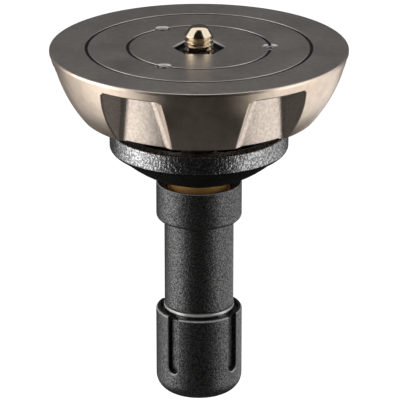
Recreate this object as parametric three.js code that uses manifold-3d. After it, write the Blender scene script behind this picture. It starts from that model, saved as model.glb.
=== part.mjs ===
// Tripod half ball adapter: a levelling half ball with a camera stud on top, a clamp cup
// below it and a long handle whose nut runs on the clamp rod and pulls the cup upwards.
// Millimetres, +Z up. Heights below are measured from the top face of the ball, and the
// finished group is lowered so that the origin is the centre of the ball's sphere.
import * as THREE from 'three';
import { mergeVertices } from 'three/addons/utils/BufferGeometryUtils.js';
import Module from 'manifold-3d';

const wasm = await Module();
wasm.setup();

const DEG = Math.PI / 180;

// Clearances and shared sizes
const CLEARANCE = 0.3;          // between neighbours that touch on the real object
const OVERRUN = 2;              // how far a cutter runs past the face it opens
const EDGE_BREAK = 0.4;         // small chamfer on turned edges
const FINE_EDGE_BREAK = 0.25;   // chamfer on washers and rings

// Sides of the round forms
const BALL_SIDES = 60;
const CUP_SIDES = 48;
const HANDLE_SIDES = 36;
const INNER_SIDES = 24;
const SMALL_SIDES = 16;
const HEX_SIDES = 6;
const ROUND_STEPS = 3;          // along a small rounded edge

// Half ball
const BALL_RADIUS = 50;
const BALL_CENTRE_RISE = 9.3;   // sphere centre above the top face
const BALL_HEIGHT = 22.5;
const BALL_ARC_STEPS = 8;
const RIM_RADIUS = 49.1;
const RIM_HEIGHT = 1;
const RIM_EDGE = 0.4;
const GROOVE_RADII = [36.9, 23.4];
const GROOVE_WIDTH = 0.7;
const GROOVE_DEPTH = 0.5;
const WINDOW_COUNT = 6;
const WINDOW_ANGLE = 25.5;
const WINDOW_TOP = 3.7;         // below the top face
const WINDOW_CORNER = 1.6;
const WINDOW_FILLET = 1.2;
const WINDOW_CORNER_STEPS = 4;
const WINDOW_FLOOR_RADIUS = 34.9;
const WINDOW_FLOOR_DRAFT = 6.7;
const WINDOW_TURN = 1.3;        // windows and set screws, about the axis
const HUB_RADIUS = 13.5;
const HUB_HEIGHT = 25.5;
const CAVITY_RADIUS = 31;
const CAVITY_ROOF = 12;
const CAVITY_FILLET = 2;
const WEB_THICKNESS = 3.2;
const WEB_FOOT = 20.5;

// Camera stud, 3/8 inch with 16 threads to the inch, and the hex nut that locks it
const STUD_RADIUS = 4.76;
const STUD_PITCH = 1.5875;
const STUD_THREAD_DEPTH = 0.9;
const THREAD_FLAT_SHARE = 1 / 6; // of the pitch, at the crest and again at the root
const STUD_TIP_RADIUS = 2.8;
const STUD_TIP_HEIGHT = 7.4;
const STUD_CONE_HEIGHT = 3.7;
const STUD_TIP_EDGE = 0.35;
const STUD_DEPTH = 13.7;
const STUD_ROWS_PER_TURN = 6;
const STUD_SIDES = 24;
const STUD_NUT_FLATS = 14.3;
const STUD_NUT_THICKNESS = 5.5;
const STUD_NUT_DEPTH = 1.6;
const RECESS_EDGE = 0.5;

// Set screws that bite into the base of the head
const SET_SCREW_COUNT = 3;
const SET_SCREW_RADIUS = 2;
const SET_SCREW_CIRCLE = GROOVE_RADII[1];
const SET_SCREW_LENGTH = 9;
const SET_SCREW_DEPTH = 0.4;
const SET_SCREW_SOCKET_FLATS = 2;
const SET_SCREW_SOCKET_DEPTH = 2.5;
const SET_SCREW_EDGE = 0.3;
const SET_SCREW_SINK = 0.5;

// Clamp rod, M12, with its lock nut and cross pin
const ROD_RADIUS = 6;
const ROD_EDGE = 0.8;
const LOCK_NUT_FLATS = 19;
const LOCK_NUT_THICKNESS = 6;
const PIN_RADIUS = 2;
const PIN_BORE_RADIUS = 1.2;
const PIN_LENGTH = 24;
const PIN_DEPTH = 19.5;
const PIN_SLIT = 50;            // degrees left open in the spring pin's wall

// Travel of the cup and handle along the rod
const HANDLE_DOWN_TRAVEL = 12.25;

// Clamp cup
const CUP_BOWL_RADIUS = 25.4;
const CUP_WALL = 4.25;
const CUP_RADIUS = CUP_BOWL_RADIUS + CUP_WALL;
const CUP_TOP = 27.9;
const CUP_BAND_HEIGHT = 5.6;
const CUP_SHOULDER_INSET = 2.75;
const CUP_SHOULDER_RADIUS = CUP_RADIUS - CUP_SHOULDER_INSET;
const CUP_SHOULDER_DROP = 2.6;
const CUP_DOME_BOTTOM = 44.7;
const CUP_DOME_BULGE_RADIUS = 20.5;
const CUP_DOME_BULGE_DEPTH = 41.8;
const CUP_DOME_STEPS = 4;
const CUP_NECK_RADIUS = 14.8;
const CUP_BOTTOM = 46.25;
const CUP_NECK_EDGE = 0.8;
const CUP_RIM_EDGE = 0.6;
const CUP_BOWL_WALL_BOTTOM = 33.5;
const CUP_FLOOR_RADIUS = 16;
const CUP_FLOOR = 39.4;
const BUSH_WALL = 1.7;
const BUSH_FLANGE_RADIUS = 10.6;
const BUSH_FLANGE_THICKNESS = 1.2;
const BUSH_RECESS = 0.6;        // below the neck's end face

// Brass thrust washer between the cup and the handle
const WASHER_RADIUS = 9.6;
const WASHER_THICKNESS = 1;

// Handle tube with its collar
const COLLAR_RADIUS = 14.3;
const COLLAR_LENGTH = 11.6;
const COLLAR_TOP_ROUND = 1;
const COLLAR_FOOT_ROUND = 1.6;
const STEM_RADIUS = 11.6;
const STEM_LENGTH = 42.1;       // collar top to the shoulder above the knob
const SPIGOT_RADIUS = 10.4;
const SPIGOT_LENGTH = 18;
const TUBE_BORE_RADIUS = 8.6;

// Threaded insert of the handle
const INSERT_HEAD_RADIUS = 10.6;
const INSERT_HEAD_LENGTH = 9;
const INSERT_LENGTH = 16;
const INSERT_RECESS = 0.8;

// End stop of the rod
const STOP_WASHER_RADIUS = 8;
const STOP_WASHER_THICKNESS = 1.6;
const STOP_SCREW_RADIUS = 2.5;
const STOP_SCREW_LENGTH = 12;
const STOP_SCREW_HEAD_RADIUS = 4.7;
const STOP_SCREW_HEAD_HEIGHT = 2.8;
const STOP_SCREW_SOCKET_FLATS = 3;

// Plug that closes the tube and carries the knob's screw
const PLUG_LENGTH = 11;
const PLUG_RECESS = 0.3;

// Ring, knob, and the knob's washer and screw
const RING_RADIUS = 11.8;
const RING_THICKNESS = 0.9;
const KNOB_RADIUS = 14.5;
const KNOB_BOTTOM = 121.4;
const KNOB_MOUTH_RADIUS = 13.1;
const KNOB_COLLAR_RADIUS = 11.4;
const KNOB_GROOVE_DEPTH = 1.3;
const KNOB_RIM_DROP = 0.1;      // rim below the inner collar
const KNOB_RIM_ROUND = 0.8;
const KNOB_BOTTOM_ROUND = 5.6;
const KNOB_ROUND_STEPS = 6;
const KNOB_RIM_STEPS = 2;
const SLOT_COUNT = 4;
const SLOT_WIDTH = 4.4;
const SLOT_DEPTH = 2;
const SLOT_FOOT = 112;
const SLOT_AZIMUTH = -37.7;
const SLOT_CURVE_STEPS = 6;
const COUNTERBORE_RADIUS = 7.6;
const COUNTERBORE_DEPTH = 6.6;
const KNOB_WASHER_RADIUS = 7.2;
const KNOB_WASHER_THICKNESS = 1.6;
const KNOB_SCREW_RADIUS = 3;
const KNOB_SCREW_REACH = 9;
const KNOB_SCREW_HEAD_RADIUS = 5.2;
const KNOB_SCREW_HEAD_HEIGHT = 3.4;
const KNOB_SCREW_SOCKET_FLATS = 4;
const SOCKET_DEPTH_SHARE = 0.6;

// Places that follow from the sizes above, as heights above the top face
const recessFloor = -(STUD_NUT_DEPTH + STUD_NUT_THICKNESS + CLEARANCE);
const rodTop = -(STUD_DEPTH + 2 * CLEARANCE);
const lockNutTop = -(HUB_HEIGHT + CLEARANCE);
const washerTop = -(CUP_BOTTOM + CLEARANCE);
const collarTop = washerTop - WASHER_THICKNESS - CLEARANCE;
const stemFoot = collarTop - STEM_LENGTH;
const tubeFoot = stemFoot - SPIGOT_LENGTH;
const insertTop = collarTop - INSERT_RECESS;
const insertFoot = insertTop - INSERT_LENGTH;
const stopWasherTop = insertFoot - HANDLE_DOWN_TRAVEL - CLEARANCE;
const rodFoot = stopWasherTop + CLEARANCE;
const stopHeadTop = stopWasherTop - STOP_WASHER_THICKNESS - CLEARANCE;
const ringTop = stemFoot - CLEARANCE;
const knobCollarTop = ringTop - RING_THICKNESS - CLEARANCE;
const knobTop = knobCollarTop - KNOB_RIM_DROP;
const knobFloor = tubeFoot - CLEARANCE;
const counterboreRoof = COUNTERBORE_DEPTH - KNOB_BOTTOM;
const knobWasherTop = counterboreRoof - CLEARANCE;
const knobHeadTop = knobWasherTop - KNOB_WASHER_THICKNESS - CLEARANCE;
const rodBoreRadius = ROD_RADIUS + CLEARANCE;
const studBoreRadius = STUD_RADIUS + CLEARANCE;
const bushRadius = rodBoreRadius + BUSH_WALL;

const FINISH = {
  aluminium: { color: 0xb5aa9c, roughness: 0.35, metalness: 0.9 },
  nickel: { color: 0xcfc2ae, roughness: 0.3, metalness: 1 },
  steel: { color: 0x9a9a98, roughness: 0.4, metalness: 0.9 },
  darkSteel: { color: 0x2a2a2a, roughness: 0.5, metalness: 0.6 },
  blackPaint: { color: 0x1e1e1f, roughness: 0.6, metalness: 0.1 },
  brass: { color: 0xc08a3e, roughness: 0.35, metalness: 0.9 },
  nylon: { color: 0xd8d4c8, roughness: 0.6, metalness: 0 },
};

const point = (r, z) => new THREE.Vector2(r, z);

// Points of a circular arc in the (radius, height) plane, angles in degrees
function arc(centre, radius, from, to, steps) {
  const points = [];
  for (let i = 0; i <= steps; i += 1) {
    const angle = (from + ((to - from) * i) / steps) * DEG;
    points.push(point(centre.x + radius * Math.cos(angle), centre.y + radius * Math.sin(angle)));
  }
  return points;
}

// Turned form about Z: the profile runs up the outside and back down the inside
function revolve(profile, sides) {
  const geometry = new THREE.LatheGeometry(profile, sides);
  geometry.rotateX(Math.PI / 2);
  return geometry;
}

// Ring or sleeve between two heights, with both outer edges broken
function sleeve(inner, outer, low, high, edge, sides) {
  const profile = [
    point(inner, low),
    point(outer - edge, low),
    point(outer, low + edge),
    point(outer, high - edge),
    point(outer - edge, high),
    point(inner, high),
    point(inner, low),
  ];
  return revolve(profile, sides);
}

// Solid round bar between two heights, with both edges broken
function bar(radius, low, high, edge, sides) {
  const profile = [
    point(0, low),
    point(radius - edge, low),
    point(radius, low + edge),
    point(radius, high - edge),
    point(radius - edge, high),
    point(0, high),
  ];
  return revolve(profile, sides);
}

// Plain six-sided bar between two heights, corners on the X axis
function hexBar(flats, low, high) {
  const corner = flats / Math.sqrt(3);
  const geometry = new THREE.CylinderGeometry(corner, corner, high - low, HEX_SIDES);
  geometry.rotateX(Math.PI / 2);
  geometry.rotateZ(Math.PI / 2);
  geometry.translate(0, 0, (low + high) / 2);
  return geometry;
}

// Plain round bar used as a drill, between two heights
function drill(radius, low, high, sides) {
  const geometry = new THREE.CylinderGeometry(radius, radius, high - low, sides);
  geometry.rotateX(Math.PI / 2);
  geometry.translate(0, 0, (low + high) / 2);
  return geometry;
}

// Closed solid of a geometry, for joins and cuts
function solid(geometry) {
  const bare = geometry.clone();
  bare.deleteAttribute('normal');
  bare.deleteAttribute('uv');
  const merged = mergeVertices(bare);
  const corners = merged.index.array;
  const faces = [];
  for (let i = 0; i < corners.length; i += 3) {
    const [a, b, c] = corners.slice(i, i + 3);
    if (a !== b && b !== c && c !== a) faces.push(a, b, c);
  }
  return new wasm.Manifold(new wasm.Mesh({
    numProp: 3,
    vertProperties: merged.attributes.position.array,
    triVerts: new Uint32Array(faces),
  }));
}

// Geometry of a solid after its joins and cuts
function shapeOf(body) {
  const mesh = body.getMesh();
  const geometry = new THREE.BufferGeometry();
  geometry.setAttribute('position', new THREE.BufferAttribute(mesh.vertProperties, 3));
  geometry.setIndex(new THREE.BufferAttribute(mesh.triVerts, 1));
  geometry.computeVertexNormals();
  return geometry;
}

function piece(name, geometry, finish) {
  const mesh = new THREE.Mesh(geometry, new THREE.MeshStandardMaterial(finish));
  mesh.name = name;
  return mesh;
}

// One side window: radial side walls, rounded top corners, a drafted floor with a fillet
// where it meets the walls, and an open foot. It opens towards +X.
function windowCutter() {
  const outer = BALL_RADIUS + OVERRUN;
  const half = outer * Math.tan((WINDOW_ANGLE / 2) * DEG);
  const top = -WINDOW_TOP;
  const foot = -(BALL_HEIGHT + OVERRUN);
  const outline = new THREE.Shape();
  outline.moveTo(-half, foot);
  outline.lineTo(half, foot);
  outline.lineTo(half, top - WINDOW_CORNER);
  outline.absarc(half - WINDOW_CORNER, top - WINDOW_CORNER, WINDOW_CORNER, 0, Math.PI / 2, false);
  outline.absarc(WINDOW_CORNER - half, top - WINDOW_CORNER, WINDOW_CORNER, Math.PI / 2, Math.PI, false);
  outline.lineTo(-half, foot);
  const geometry = new THREE.ExtrudeGeometry(outline, {
    depth: outer - WINDOW_FLOOR_RADIUS,
    curveSegments: WINDOW_CORNER_STEPS,
    bevelEnabled: true,
    bevelThickness: WINDOW_FILLET,
    bevelSize: WINDOW_FILLET,
    bevelOffset: -WINDOW_FILLET,
    bevelSegments: ROUND_STEPS,
  });
  const draft = Math.tan(WINDOW_FLOOR_DRAFT * DEG);
  const place = geometry.attributes.position;
  for (let i = 0; i < place.count; i += 1) {
    const height = place.getY(i);
    const radial = WINDOW_FLOOR_RADIUS + WINDOW_FILLET + place.getZ(i) + (top - height) * draft;
    place.setXYZ(i, radial, (place.getX(i) * radial) / outer, height);
  }
  return geometry;
}

// Web between the hub and the outer wall, under the cavity's roof, towards +X
function webBar() {
  const inside = HUB_RADIUS - WEB_THICKNESS / 2;
  const outside = CAVITY_RADIUS + WEB_THICKNESS / 2;
  const roof = -CAVITY_ROOF + WEB_THICKNESS / 2;
  const geometry = new THREE.BoxGeometry(outside - inside, WEB_THICKNESS, WEB_FOOT + roof);
  geometry.translate((inside + outside) / 2, 0, (roof - WEB_FOOT) / 2);
  return geometry;
}

function ballProfile() {
  const centre = point(0, BALL_CENTRE_RISE);
  const depthAngle = (depth) => Math.asin((-depth - BALL_CENTRE_RISE) / BALL_RADIUS) / DEG;
  const grooves = GROOVE_RADII.flatMap((r) => [
    point(r + GROOVE_WIDTH / 2, 0),
    point(r + GROOVE_WIDTH / 2, -GROOVE_DEPTH),
    point(r - GROOVE_WIDTH / 2, -GROOVE_DEPTH),
    point(r - GROOVE_WIDTH / 2, 0),
  ]);
  const roof = -CAVITY_ROOF;
  const start = point(CAVITY_RADIUS, -BALL_HEIGHT);
  return [
    start,
    ...arc(centre, BALL_RADIUS, depthAngle(BALL_HEIGHT), depthAngle(RIM_HEIGHT), BALL_ARC_STEPS),
    point(RIM_RADIUS, -RIM_HEIGHT),
    point(RIM_RADIUS, -RIM_EDGE),
    point(RIM_RADIUS - RIM_EDGE, 0),
    ...grooves,
    point(studBoreRadius, 0),
    point(studBoreRadius, rodTop + CLEARANCE),
    point(rodBoreRadius, rodTop + CLEARANCE),
    point(rodBoreRadius, -HUB_HEIGHT),
    point(HUB_RADIUS - EDGE_BREAK, -HUB_HEIGHT),
    point(HUB_RADIUS, EDGE_BREAK - HUB_HEIGHT),
    point(HUB_RADIUS, roof - CAVITY_FILLET),
    point(HUB_RADIUS + CAVITY_FILLET, roof),
    point(CAVITY_RADIUS - CAVITY_FILLET, roof),
    point(CAVITY_RADIUS, roof - CAVITY_FILLET),
    start,
  ];
}

// Place of a set screw on its circle, from its number
function setScrewPlace(index) {
  const angle = ((index * 360) / SET_SCREW_COUNT + WINDOW_TURN) * DEG;
  return new THREE.Vector3(Math.cos(angle), Math.sin(angle), 0).multiplyScalar(SET_SCREW_CIRCLE);
}

function halfBall() {
  let body = solid(revolve(ballProfile(), BALL_SIDES));
  const pitch = 360 / WINDOW_COUNT;
  const opening = solid(windowCutter());
  const web = solid(webBar());
  for (let i = 0; i < WINDOW_COUNT; i += 1) {
    const turn = i * pitch + WINDOW_TURN;
    body = body.add(web.rotate([0, 0, turn + pitch / 2]));
    body = body.subtract(opening.rotate([0, 0, turn]));
  }
  const recessFlats = STUD_NUT_FLATS + 2 * CLEARANCE;
  const mouthCorner = recessFlats / Math.sqrt(3) + RECESS_EDGE + OVERRUN;
  const mouth = new THREE.CylinderGeometry(mouthCorner, mouthCorner - RECESS_EDGE - OVERRUN,
    RECESS_EDGE + OVERRUN, HEX_SIDES);
  mouth.rotateX(Math.PI / 2);
  mouth.rotateZ(Math.PI / 2);
  mouth.translate(0, 0, (OVERRUN - RECESS_EDGE) / 2);
  body = body.subtract(solid(hexBar(recessFlats, recessFloor, OVERRUN))).subtract(solid(mouth));
  const holeRadius = SET_SCREW_RADIUS + CLEARANCE;
  const screwHole = solid(drill(holeRadius, -(CAVITY_ROOF + OVERRUN), OVERRUN, SMALL_SIDES));
  const sink = new THREE.CylinderGeometry(holeRadius + SET_SCREW_SINK + OVERRUN, holeRadius,
    SET_SCREW_SINK + OVERRUN, SMALL_SIDES);
  sink.rotateX(Math.PI / 2);
  sink.translate(0, 0, (OVERRUN - SET_SCREW_SINK) / 2);
  const sunkHole = screwHole.add(solid(sink));
  for (let i = 0; i < SET_SCREW_COUNT; i += 1) {
    body = body.subtract(sunkHole.translate(setScrewPlace(i).toArray()));
  }
  return shapeOf(body.subtract(pinHole(HUB_RADIUS + EDGE_BREAK)));
}

// Cross hole of the spring pin, along X, reaching as far as the given half length
function pinHole(reach) {
  const radius = PIN_RADIUS + CLEARANCE;
  const geometry = new THREE.CylinderGeometry(radius, radius, 2 * reach, SMALL_SIDES);
  geometry.rotateZ(Math.PI / 2);
  geometry.translate(0, 0, -PIN_DEPTH);
  return solid(geometry);
}

// Share of the thread's depth cut away at a point of the stud, 0 on a crest
function threadCutShare(height, angle) {
  const turns = height / STUD_PITCH - angle / (2 * Math.PI);
  const phase = turns - Math.floor(turns);
  const ridge = 1 - Math.abs(2 * phase - 1);
  const flankShare = (ridge - THREAD_FLAT_SHARE) / (1 - 2 * THREAD_FLAT_SHARE);
  return Math.min(1, Math.max(0, flankShare));
}

function cameraStud() {
  const threadFoot = -STUD_NUT_DEPTH - STUD_PITCH / 2;
  const rows = Math.round(((STUD_CONE_HEIGHT - threadFoot) / STUD_PITCH) * STUD_ROWS_PER_TURN);
  const profile = [point(0, -STUD_DEPTH), point(STUD_RADIUS - EDGE_BREAK, -STUD_DEPTH),
    point(STUD_RADIUS, EDGE_BREAK - STUD_DEPTH)];
  for (let i = 0; i <= rows; i += 1) {
    profile.push(point(STUD_RADIUS, threadFoot + ((STUD_CONE_HEIGHT - threadFoot) * i) / rows));
  }
  profile.push(point(STUD_TIP_RADIUS + STUD_TIP_EDGE, STUD_TIP_HEIGHT - STUD_TIP_EDGE));
  profile.push(point(STUD_TIP_RADIUS, STUD_TIP_HEIGHT), point(0, STUD_TIP_HEIGHT));
  const geometry = revolve(profile, STUD_SIDES);
  const place = geometry.attributes.position;
  const fade = STUD_PITCH / 2;
  for (let i = 0; i < place.count; i += 1) {
    const [x, y, z] = [place.getX(i), place.getY(i), place.getZ(i)];
    if (z > threadFoot && z < STUD_CONE_HEIGHT) {
      const runOut = Math.min(1, (z - threadFoot) / fade, (STUD_CONE_HEIGHT - z) / fade);
      const cut = STUD_THREAD_DEPTH * runOut * threadCutShare(z, Math.atan2(y, x));
      const share = 1 - cut / STUD_RADIUS;
      place.setXYZ(i, x * share, y * share, z);
    }
  }
  return geometry;
}

// Hex nut with a bore, its corners turned off at both faces
function hexNut(flats, boreRadius, low, high) {
  const corner = flats / Math.sqrt(3);
  const turned = solid(bar(corner, low, high, corner - flats / 2, INNER_SIDES));
  const bore = solid(drill(boreRadius, low - OVERRUN, high + OVERRUN, INNER_SIDES));
  return shapeOf(solid(hexBar(flats, low, high)).intersect(turned).subtract(bore));
}

function setScrew() {
  const top = -SET_SCREW_DEPTH;
  const body = solid(bar(SET_SCREW_RADIUS, top - SET_SCREW_LENGTH, top, SET_SCREW_EDGE, SMALL_SIDES));
  const socket = solid(hexBar(SET_SCREW_SOCKET_FLATS, top - SET_SCREW_SOCKET_DEPTH, top + OVERRUN));
  return shapeOf(body.subtract(socket));
}

function clampRod() {
  const tapped = drill(STOP_SCREW_RADIUS + CLEARANCE, rodFoot - OVERRUN,
    rodFoot + STOP_SCREW_LENGTH + CLEARANCE, SMALL_SIDES);
  const body = solid(bar(ROD_RADIUS, rodFoot, rodTop, ROD_EDGE, INNER_SIDES));
  return shapeOf(body.subtract(solid(tapped)).subtract(pinHole(ROD_RADIUS + OVERRUN)));
}

// Slit spring pin, along X
function springPin() {
  const half = (PIN_SLIT / 2) * DEG;
  const outline = new THREE.Shape();
  outline.absarc(0, 0, PIN_RADIUS, half, 2 * Math.PI - half, false);
  outline.absarc(0, 0, PIN_BORE_RADIUS, 2 * Math.PI - half, half, true);
  const geometry = new THREE.ExtrudeGeometry(outline, {
    depth: PIN_LENGTH, curveSegments: SMALL_SIDES / 2, bevelEnabled: false,
  });
  geometry.translate(0, 0, -PIN_LENGTH / 2);
  geometry.rotateY(Math.PI / 2);
  geometry.translate(0, 0, -PIN_DEPTH);
  return geometry;
}

// Button head screw, head down, whose head's upper face is at the given height
function buttonScrew(radius, length, headRadius, headHeight, socketFlats, headTop) {
  const round = headHeight / 2;
  const profile = [
    point(0, headTop - headHeight),
    point(headRadius - round, headTop - headHeight),
    point(headRadius, headTop - round),
    point(headRadius, headTop),
    point(radius, headTop),
    point(radius, headTop + length - EDGE_BREAK),
    point(radius - EDGE_BREAK, headTop + length),
    point(0, headTop + length),
  ];
  const foot = headTop - headHeight;
  const socket = hexBar(socketFlats, foot - OVERRUN, foot + headHeight * SOCKET_DEPTH_SHARE);
  return shapeOf(solid(revolve(profile, SMALL_SIDES)).subtract(solid(socket)));
}

function clampCup() {
  const bandFoot = -(CUP_TOP + CUP_BAND_HEIGHT);
  const dome = new THREE.QuadraticBezierCurve(
    point(CUP_NECK_RADIUS, -CUP_DOME_BOTTOM),
    point(CUP_DOME_BULGE_RADIUS, -CUP_DOME_BULGE_DEPTH),
    point(CUP_SHOULDER_RADIUS, bandFoot - CUP_SHOULDER_DROP),
  );
  const shoulder = new THREE.QuadraticBezierCurve(
    point(CUP_SHOULDER_RADIUS, bandFoot - CUP_SHOULDER_DROP),
    point(CUP_RADIUS, bandFoot - (CUP_RADIUS - CUP_SHOULDER_RADIUS) / 2),
    point(CUP_RADIUS, bandFoot),
  );
  const bushHole = bushRadius + CLEARANCE;
  const flangeHole = BUSH_FLANGE_RADIUS + CLEARANCE;
  const flangeFloor = -(CUP_FLOOR + BUSH_FLANGE_THICKNESS + CLEARANCE);
  const start = point(bushHole, -CUP_BOTTOM);
  return revolve([
    start,
    point(CUP_NECK_RADIUS - CUP_NECK_EDGE, -CUP_BOTTOM),
    point(CUP_NECK_RADIUS, CUP_NECK_EDGE - CUP_BOTTOM),
    ...dome.getPoints(CUP_DOME_STEPS),
    ...shoulder.getPoints(ROUND_STEPS).slice(1),
    point(CUP_RADIUS, -CUP_TOP - CUP_RIM_EDGE),
    point(CUP_RADIUS - CUP_RIM_EDGE, -CUP_TOP),
    point(CUP_BOWL_RADIUS, -CUP_TOP),
    point(CUP_BOWL_RADIUS, -CUP_BOWL_WALL_BOTTOM),
    point(CUP_FLOOR_RADIUS, -CUP_FLOOR),
    point(flangeHole, -CUP_FLOOR),
    point(flangeHole, flangeFloor),
    point(bushHole, flangeFloor),
    start,
  ], CUP_SIDES);
}

// Flanged bush that guides the cup on the rod
function cupBush() {
  const top = -CUP_FLOOR;
  const foot = BUSH_RECESS - CUP_BOTTOM;
  const start = point(rodBoreRadius, foot);
  return revolve([
    start,
    point(bushRadius, foot),
    point(bushRadius, top - BUSH_FLANGE_THICKNESS),
    point(BUSH_FLANGE_RADIUS, top - BUSH_FLANGE_THICKNESS),
    point(BUSH_FLANGE_RADIUS, top),
    point(rodBoreRadius, top),
    start,
  ], INNER_SIDES);
}

function handleTube() {
  const collarFoot = collarTop - COLLAR_LENGTH;
  const headHole = INSERT_HEAD_RADIUS + CLEARANCE;
  const headFloor = insertTop - INSERT_HEAD_LENGTH - CLEARANCE;
  const start = point(TUBE_BORE_RADIUS, tubeFoot);
  return revolve([
    start,
    point(SPIGOT_RADIUS - EDGE_BREAK, tubeFoot),
    point(SPIGOT_RADIUS, tubeFoot + EDGE_BREAK),
    point(SPIGOT_RADIUS, stemFoot),
    point(STEM_RADIUS, stemFoot),
    point(STEM_RADIUS, collarFoot),
    ...arc(point(COLLAR_RADIUS - COLLAR_FOOT_ROUND, collarFoot + COLLAR_FOOT_ROUND),
      COLLAR_FOOT_ROUND, -90, 0, ROUND_STEPS),
    ...arc(point(COLLAR_RADIUS - COLLAR_TOP_ROUND, collarTop - COLLAR_TOP_ROUND),
      COLLAR_TOP_ROUND, 0, 90, ROUND_STEPS),
    point(headHole, collarTop),
    point(headHole, headFloor),
    point(TUBE_BORE_RADIUS, headFloor),
    start,
  ], HANDLE_SIDES);
}

// Stepped insert with the handle's thread, pressed into the collar
function handleInsert() {
  const step = insertTop - INSERT_HEAD_LENGTH;
  const body = TUBE_BORE_RADIUS - CLEARANCE;
  const start = point(rodBoreRadius, insertFoot);
  return revolve([
    start,
    point(body, insertFoot),
    point(body, step),
    point(INSERT_HEAD_RADIUS, step),
    point(INSERT_HEAD_RADIUS, insertTop),
    point(rodBoreRadius, insertTop),
    start,
  ], INNER_SIDES);
}

function knob() {
  const boreRadius = SPIGOT_RADIUS + CLEARANCE;
  const screwHole = KNOB_SCREW_RADIUS + CLEARANCE;
  const start = point(screwHole, counterboreRoof);
  const body = revolve([
    start,
    point(COUNTERBORE_RADIUS, counterboreRoof),
    point(COUNTERBORE_RADIUS, -KNOB_BOTTOM),
    ...arc(point(KNOB_RADIUS - KNOB_BOTTOM_ROUND, KNOB_BOTTOM_ROUND - KNOB_BOTTOM),
      KNOB_BOTTOM_ROUND, -90, 0, KNOB_ROUND_STEPS),
    ...arc(point(KNOB_RADIUS - KNOB_RIM_ROUND, knobTop - KNOB_RIM_ROUND),
      KNOB_RIM_ROUND, 0, 90, KNOB_RIM_STEPS),
    point(KNOB_MOUTH_RADIUS, knobTop),
    point(KNOB_MOUTH_RADIUS, knobTop - KNOB_GROOVE_DEPTH),
    point(KNOB_COLLAR_RADIUS, knobTop - KNOB_GROOVE_DEPTH),
    point(KNOB_COLLAR_RADIUS, knobCollarTop),
    point(boreRadius, knobCollarTop),
    point(boreRadius, knobFloor),
    point(screwHole, knobFloor),
    start,
  ], HANDLE_SIDES);
  const half = SLOT_WIDTH / 2;
  const roundCentre = half - SLOT_FOOT;
  const outline = new THREE.Shape();
  outline.moveTo(half, knobTop + OVERRUN);
  outline.lineTo(-half, knobTop + OVERRUN);
  outline.lineTo(-half, roundCentre);
  outline.absarc(0, roundCentre, half, Math.PI, 2 * Math.PI, false);
  outline.lineTo(half, knobTop + OVERRUN);
  const slot = new THREE.ExtrudeGeometry(outline, {
    depth: SLOT_DEPTH + OVERRUN, curveSegments: SLOT_CURVE_STEPS, bevelEnabled: false,
  });
  slot.rotateX(Math.PI / 2);
  slot.rotateZ(Math.PI / 2);
  slot.translate(KNOB_RADIUS - SLOT_DEPTH, 0, 0);
  const cutter = solid(slot);
  let cut = solid(body);
  for (let i = 0; i < SLOT_COUNT; i += 1) {
    cut = cut.subtract(cutter.rotate([0, 0, SLOT_AZIMUTH + (i * 360) / SLOT_COUNT]));
  }
  return shapeOf(cut);
}

const adapter = new THREE.Group();
adapter.position.z = -BALL_CENTRE_RISE;

adapter.add(piece('half_ball', halfBall(), FINISH.aluminium));
adapter.add(piece('camera_stud', cameraStud(), FINISH.nickel));
adapter.add(piece('stud_nut',
  hexNut(STUD_NUT_FLATS, studBoreRadius, recessFloor + CLEARANCE, -STUD_NUT_DEPTH), FINISH.darkSteel));
for (let i = 0; i < SET_SCREW_COUNT; i += 1) {
  const screw = piece(`set_screw_${i + 1}`, setScrew(), FINISH.steel);
  screw.position.copy(setScrewPlace(i));
  adapter.add(screw);
}
adapter.add(piece('clamp_rod', clampRod(), FINISH.steel));
adapter.add(piece('rod_lock_nut',
  hexNut(LOCK_NUT_FLATS, rodBoreRadius, lockNutTop - LOCK_NUT_THICKNESS, lockNutTop), FINISH.steel));
adapter.add(piece('rod_spring_pin', springPin(), FINISH.darkSteel));
adapter.add(piece('rod_stop_washer', sleeve(STOP_SCREW_RADIUS + CLEARANCE, STOP_WASHER_RADIUS,
  stopWasherTop - STOP_WASHER_THICKNESS, stopWasherTop, FINE_EDGE_BREAK, INNER_SIDES), FINISH.steel));
adapter.add(piece('rod_stop_screw', buttonScrew(STOP_SCREW_RADIUS, STOP_SCREW_LENGTH, STOP_SCREW_HEAD_RADIUS,
  STOP_SCREW_HEAD_HEIGHT, STOP_SCREW_SOCKET_FLATS, stopHeadTop), FINISH.darkSteel));

adapter.add(piece('clamp_cup', clampCup(), FINISH.blackPaint));
adapter.add(piece('cup_bush', cupBush(), FINISH.nylon));
adapter.add(piece('thrust_washer', sleeve(rodBoreRadius, WASHER_RADIUS,
  washerTop - WASHER_THICKNESS, washerTop, FINE_EDGE_BREAK, HANDLE_SIDES), FINISH.brass));

adapter.add(piece('handle_tube', handleTube(), FINISH.blackPaint));
adapter.add(piece('handle_insert', handleInsert(), FINISH.brass));
adapter.add(piece('handle_plug', sleeve(KNOB_SCREW_RADIUS + CLEARANCE, TUBE_BORE_RADIUS - CLEARANCE,
  tubeFoot + PLUG_RECESS, tubeFoot + PLUG_RECESS + PLUG_LENGTH, EDGE_BREAK, INNER_SIDES), FINISH.steel));
adapter.add(piece('knob_ring', sleeve(SPIGOT_RADIUS + CLEARANCE, RING_RADIUS,
  ringTop - RING_THICKNESS, ringTop, FINE_EDGE_BREAK, HANDLE_SIDES), FINISH.nickel));
adapter.add(piece('knob', knob(), FINISH.blackPaint));
adapter.add(piece('knob_washer', sleeve(KNOB_SCREW_RADIUS + CLEARANCE, KNOB_WASHER_RADIUS,
  knobWasherTop - KNOB_WASHER_THICKNESS, knobWasherTop, FINE_EDGE_BREAK, INNER_SIDES), FINISH.steel));
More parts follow.
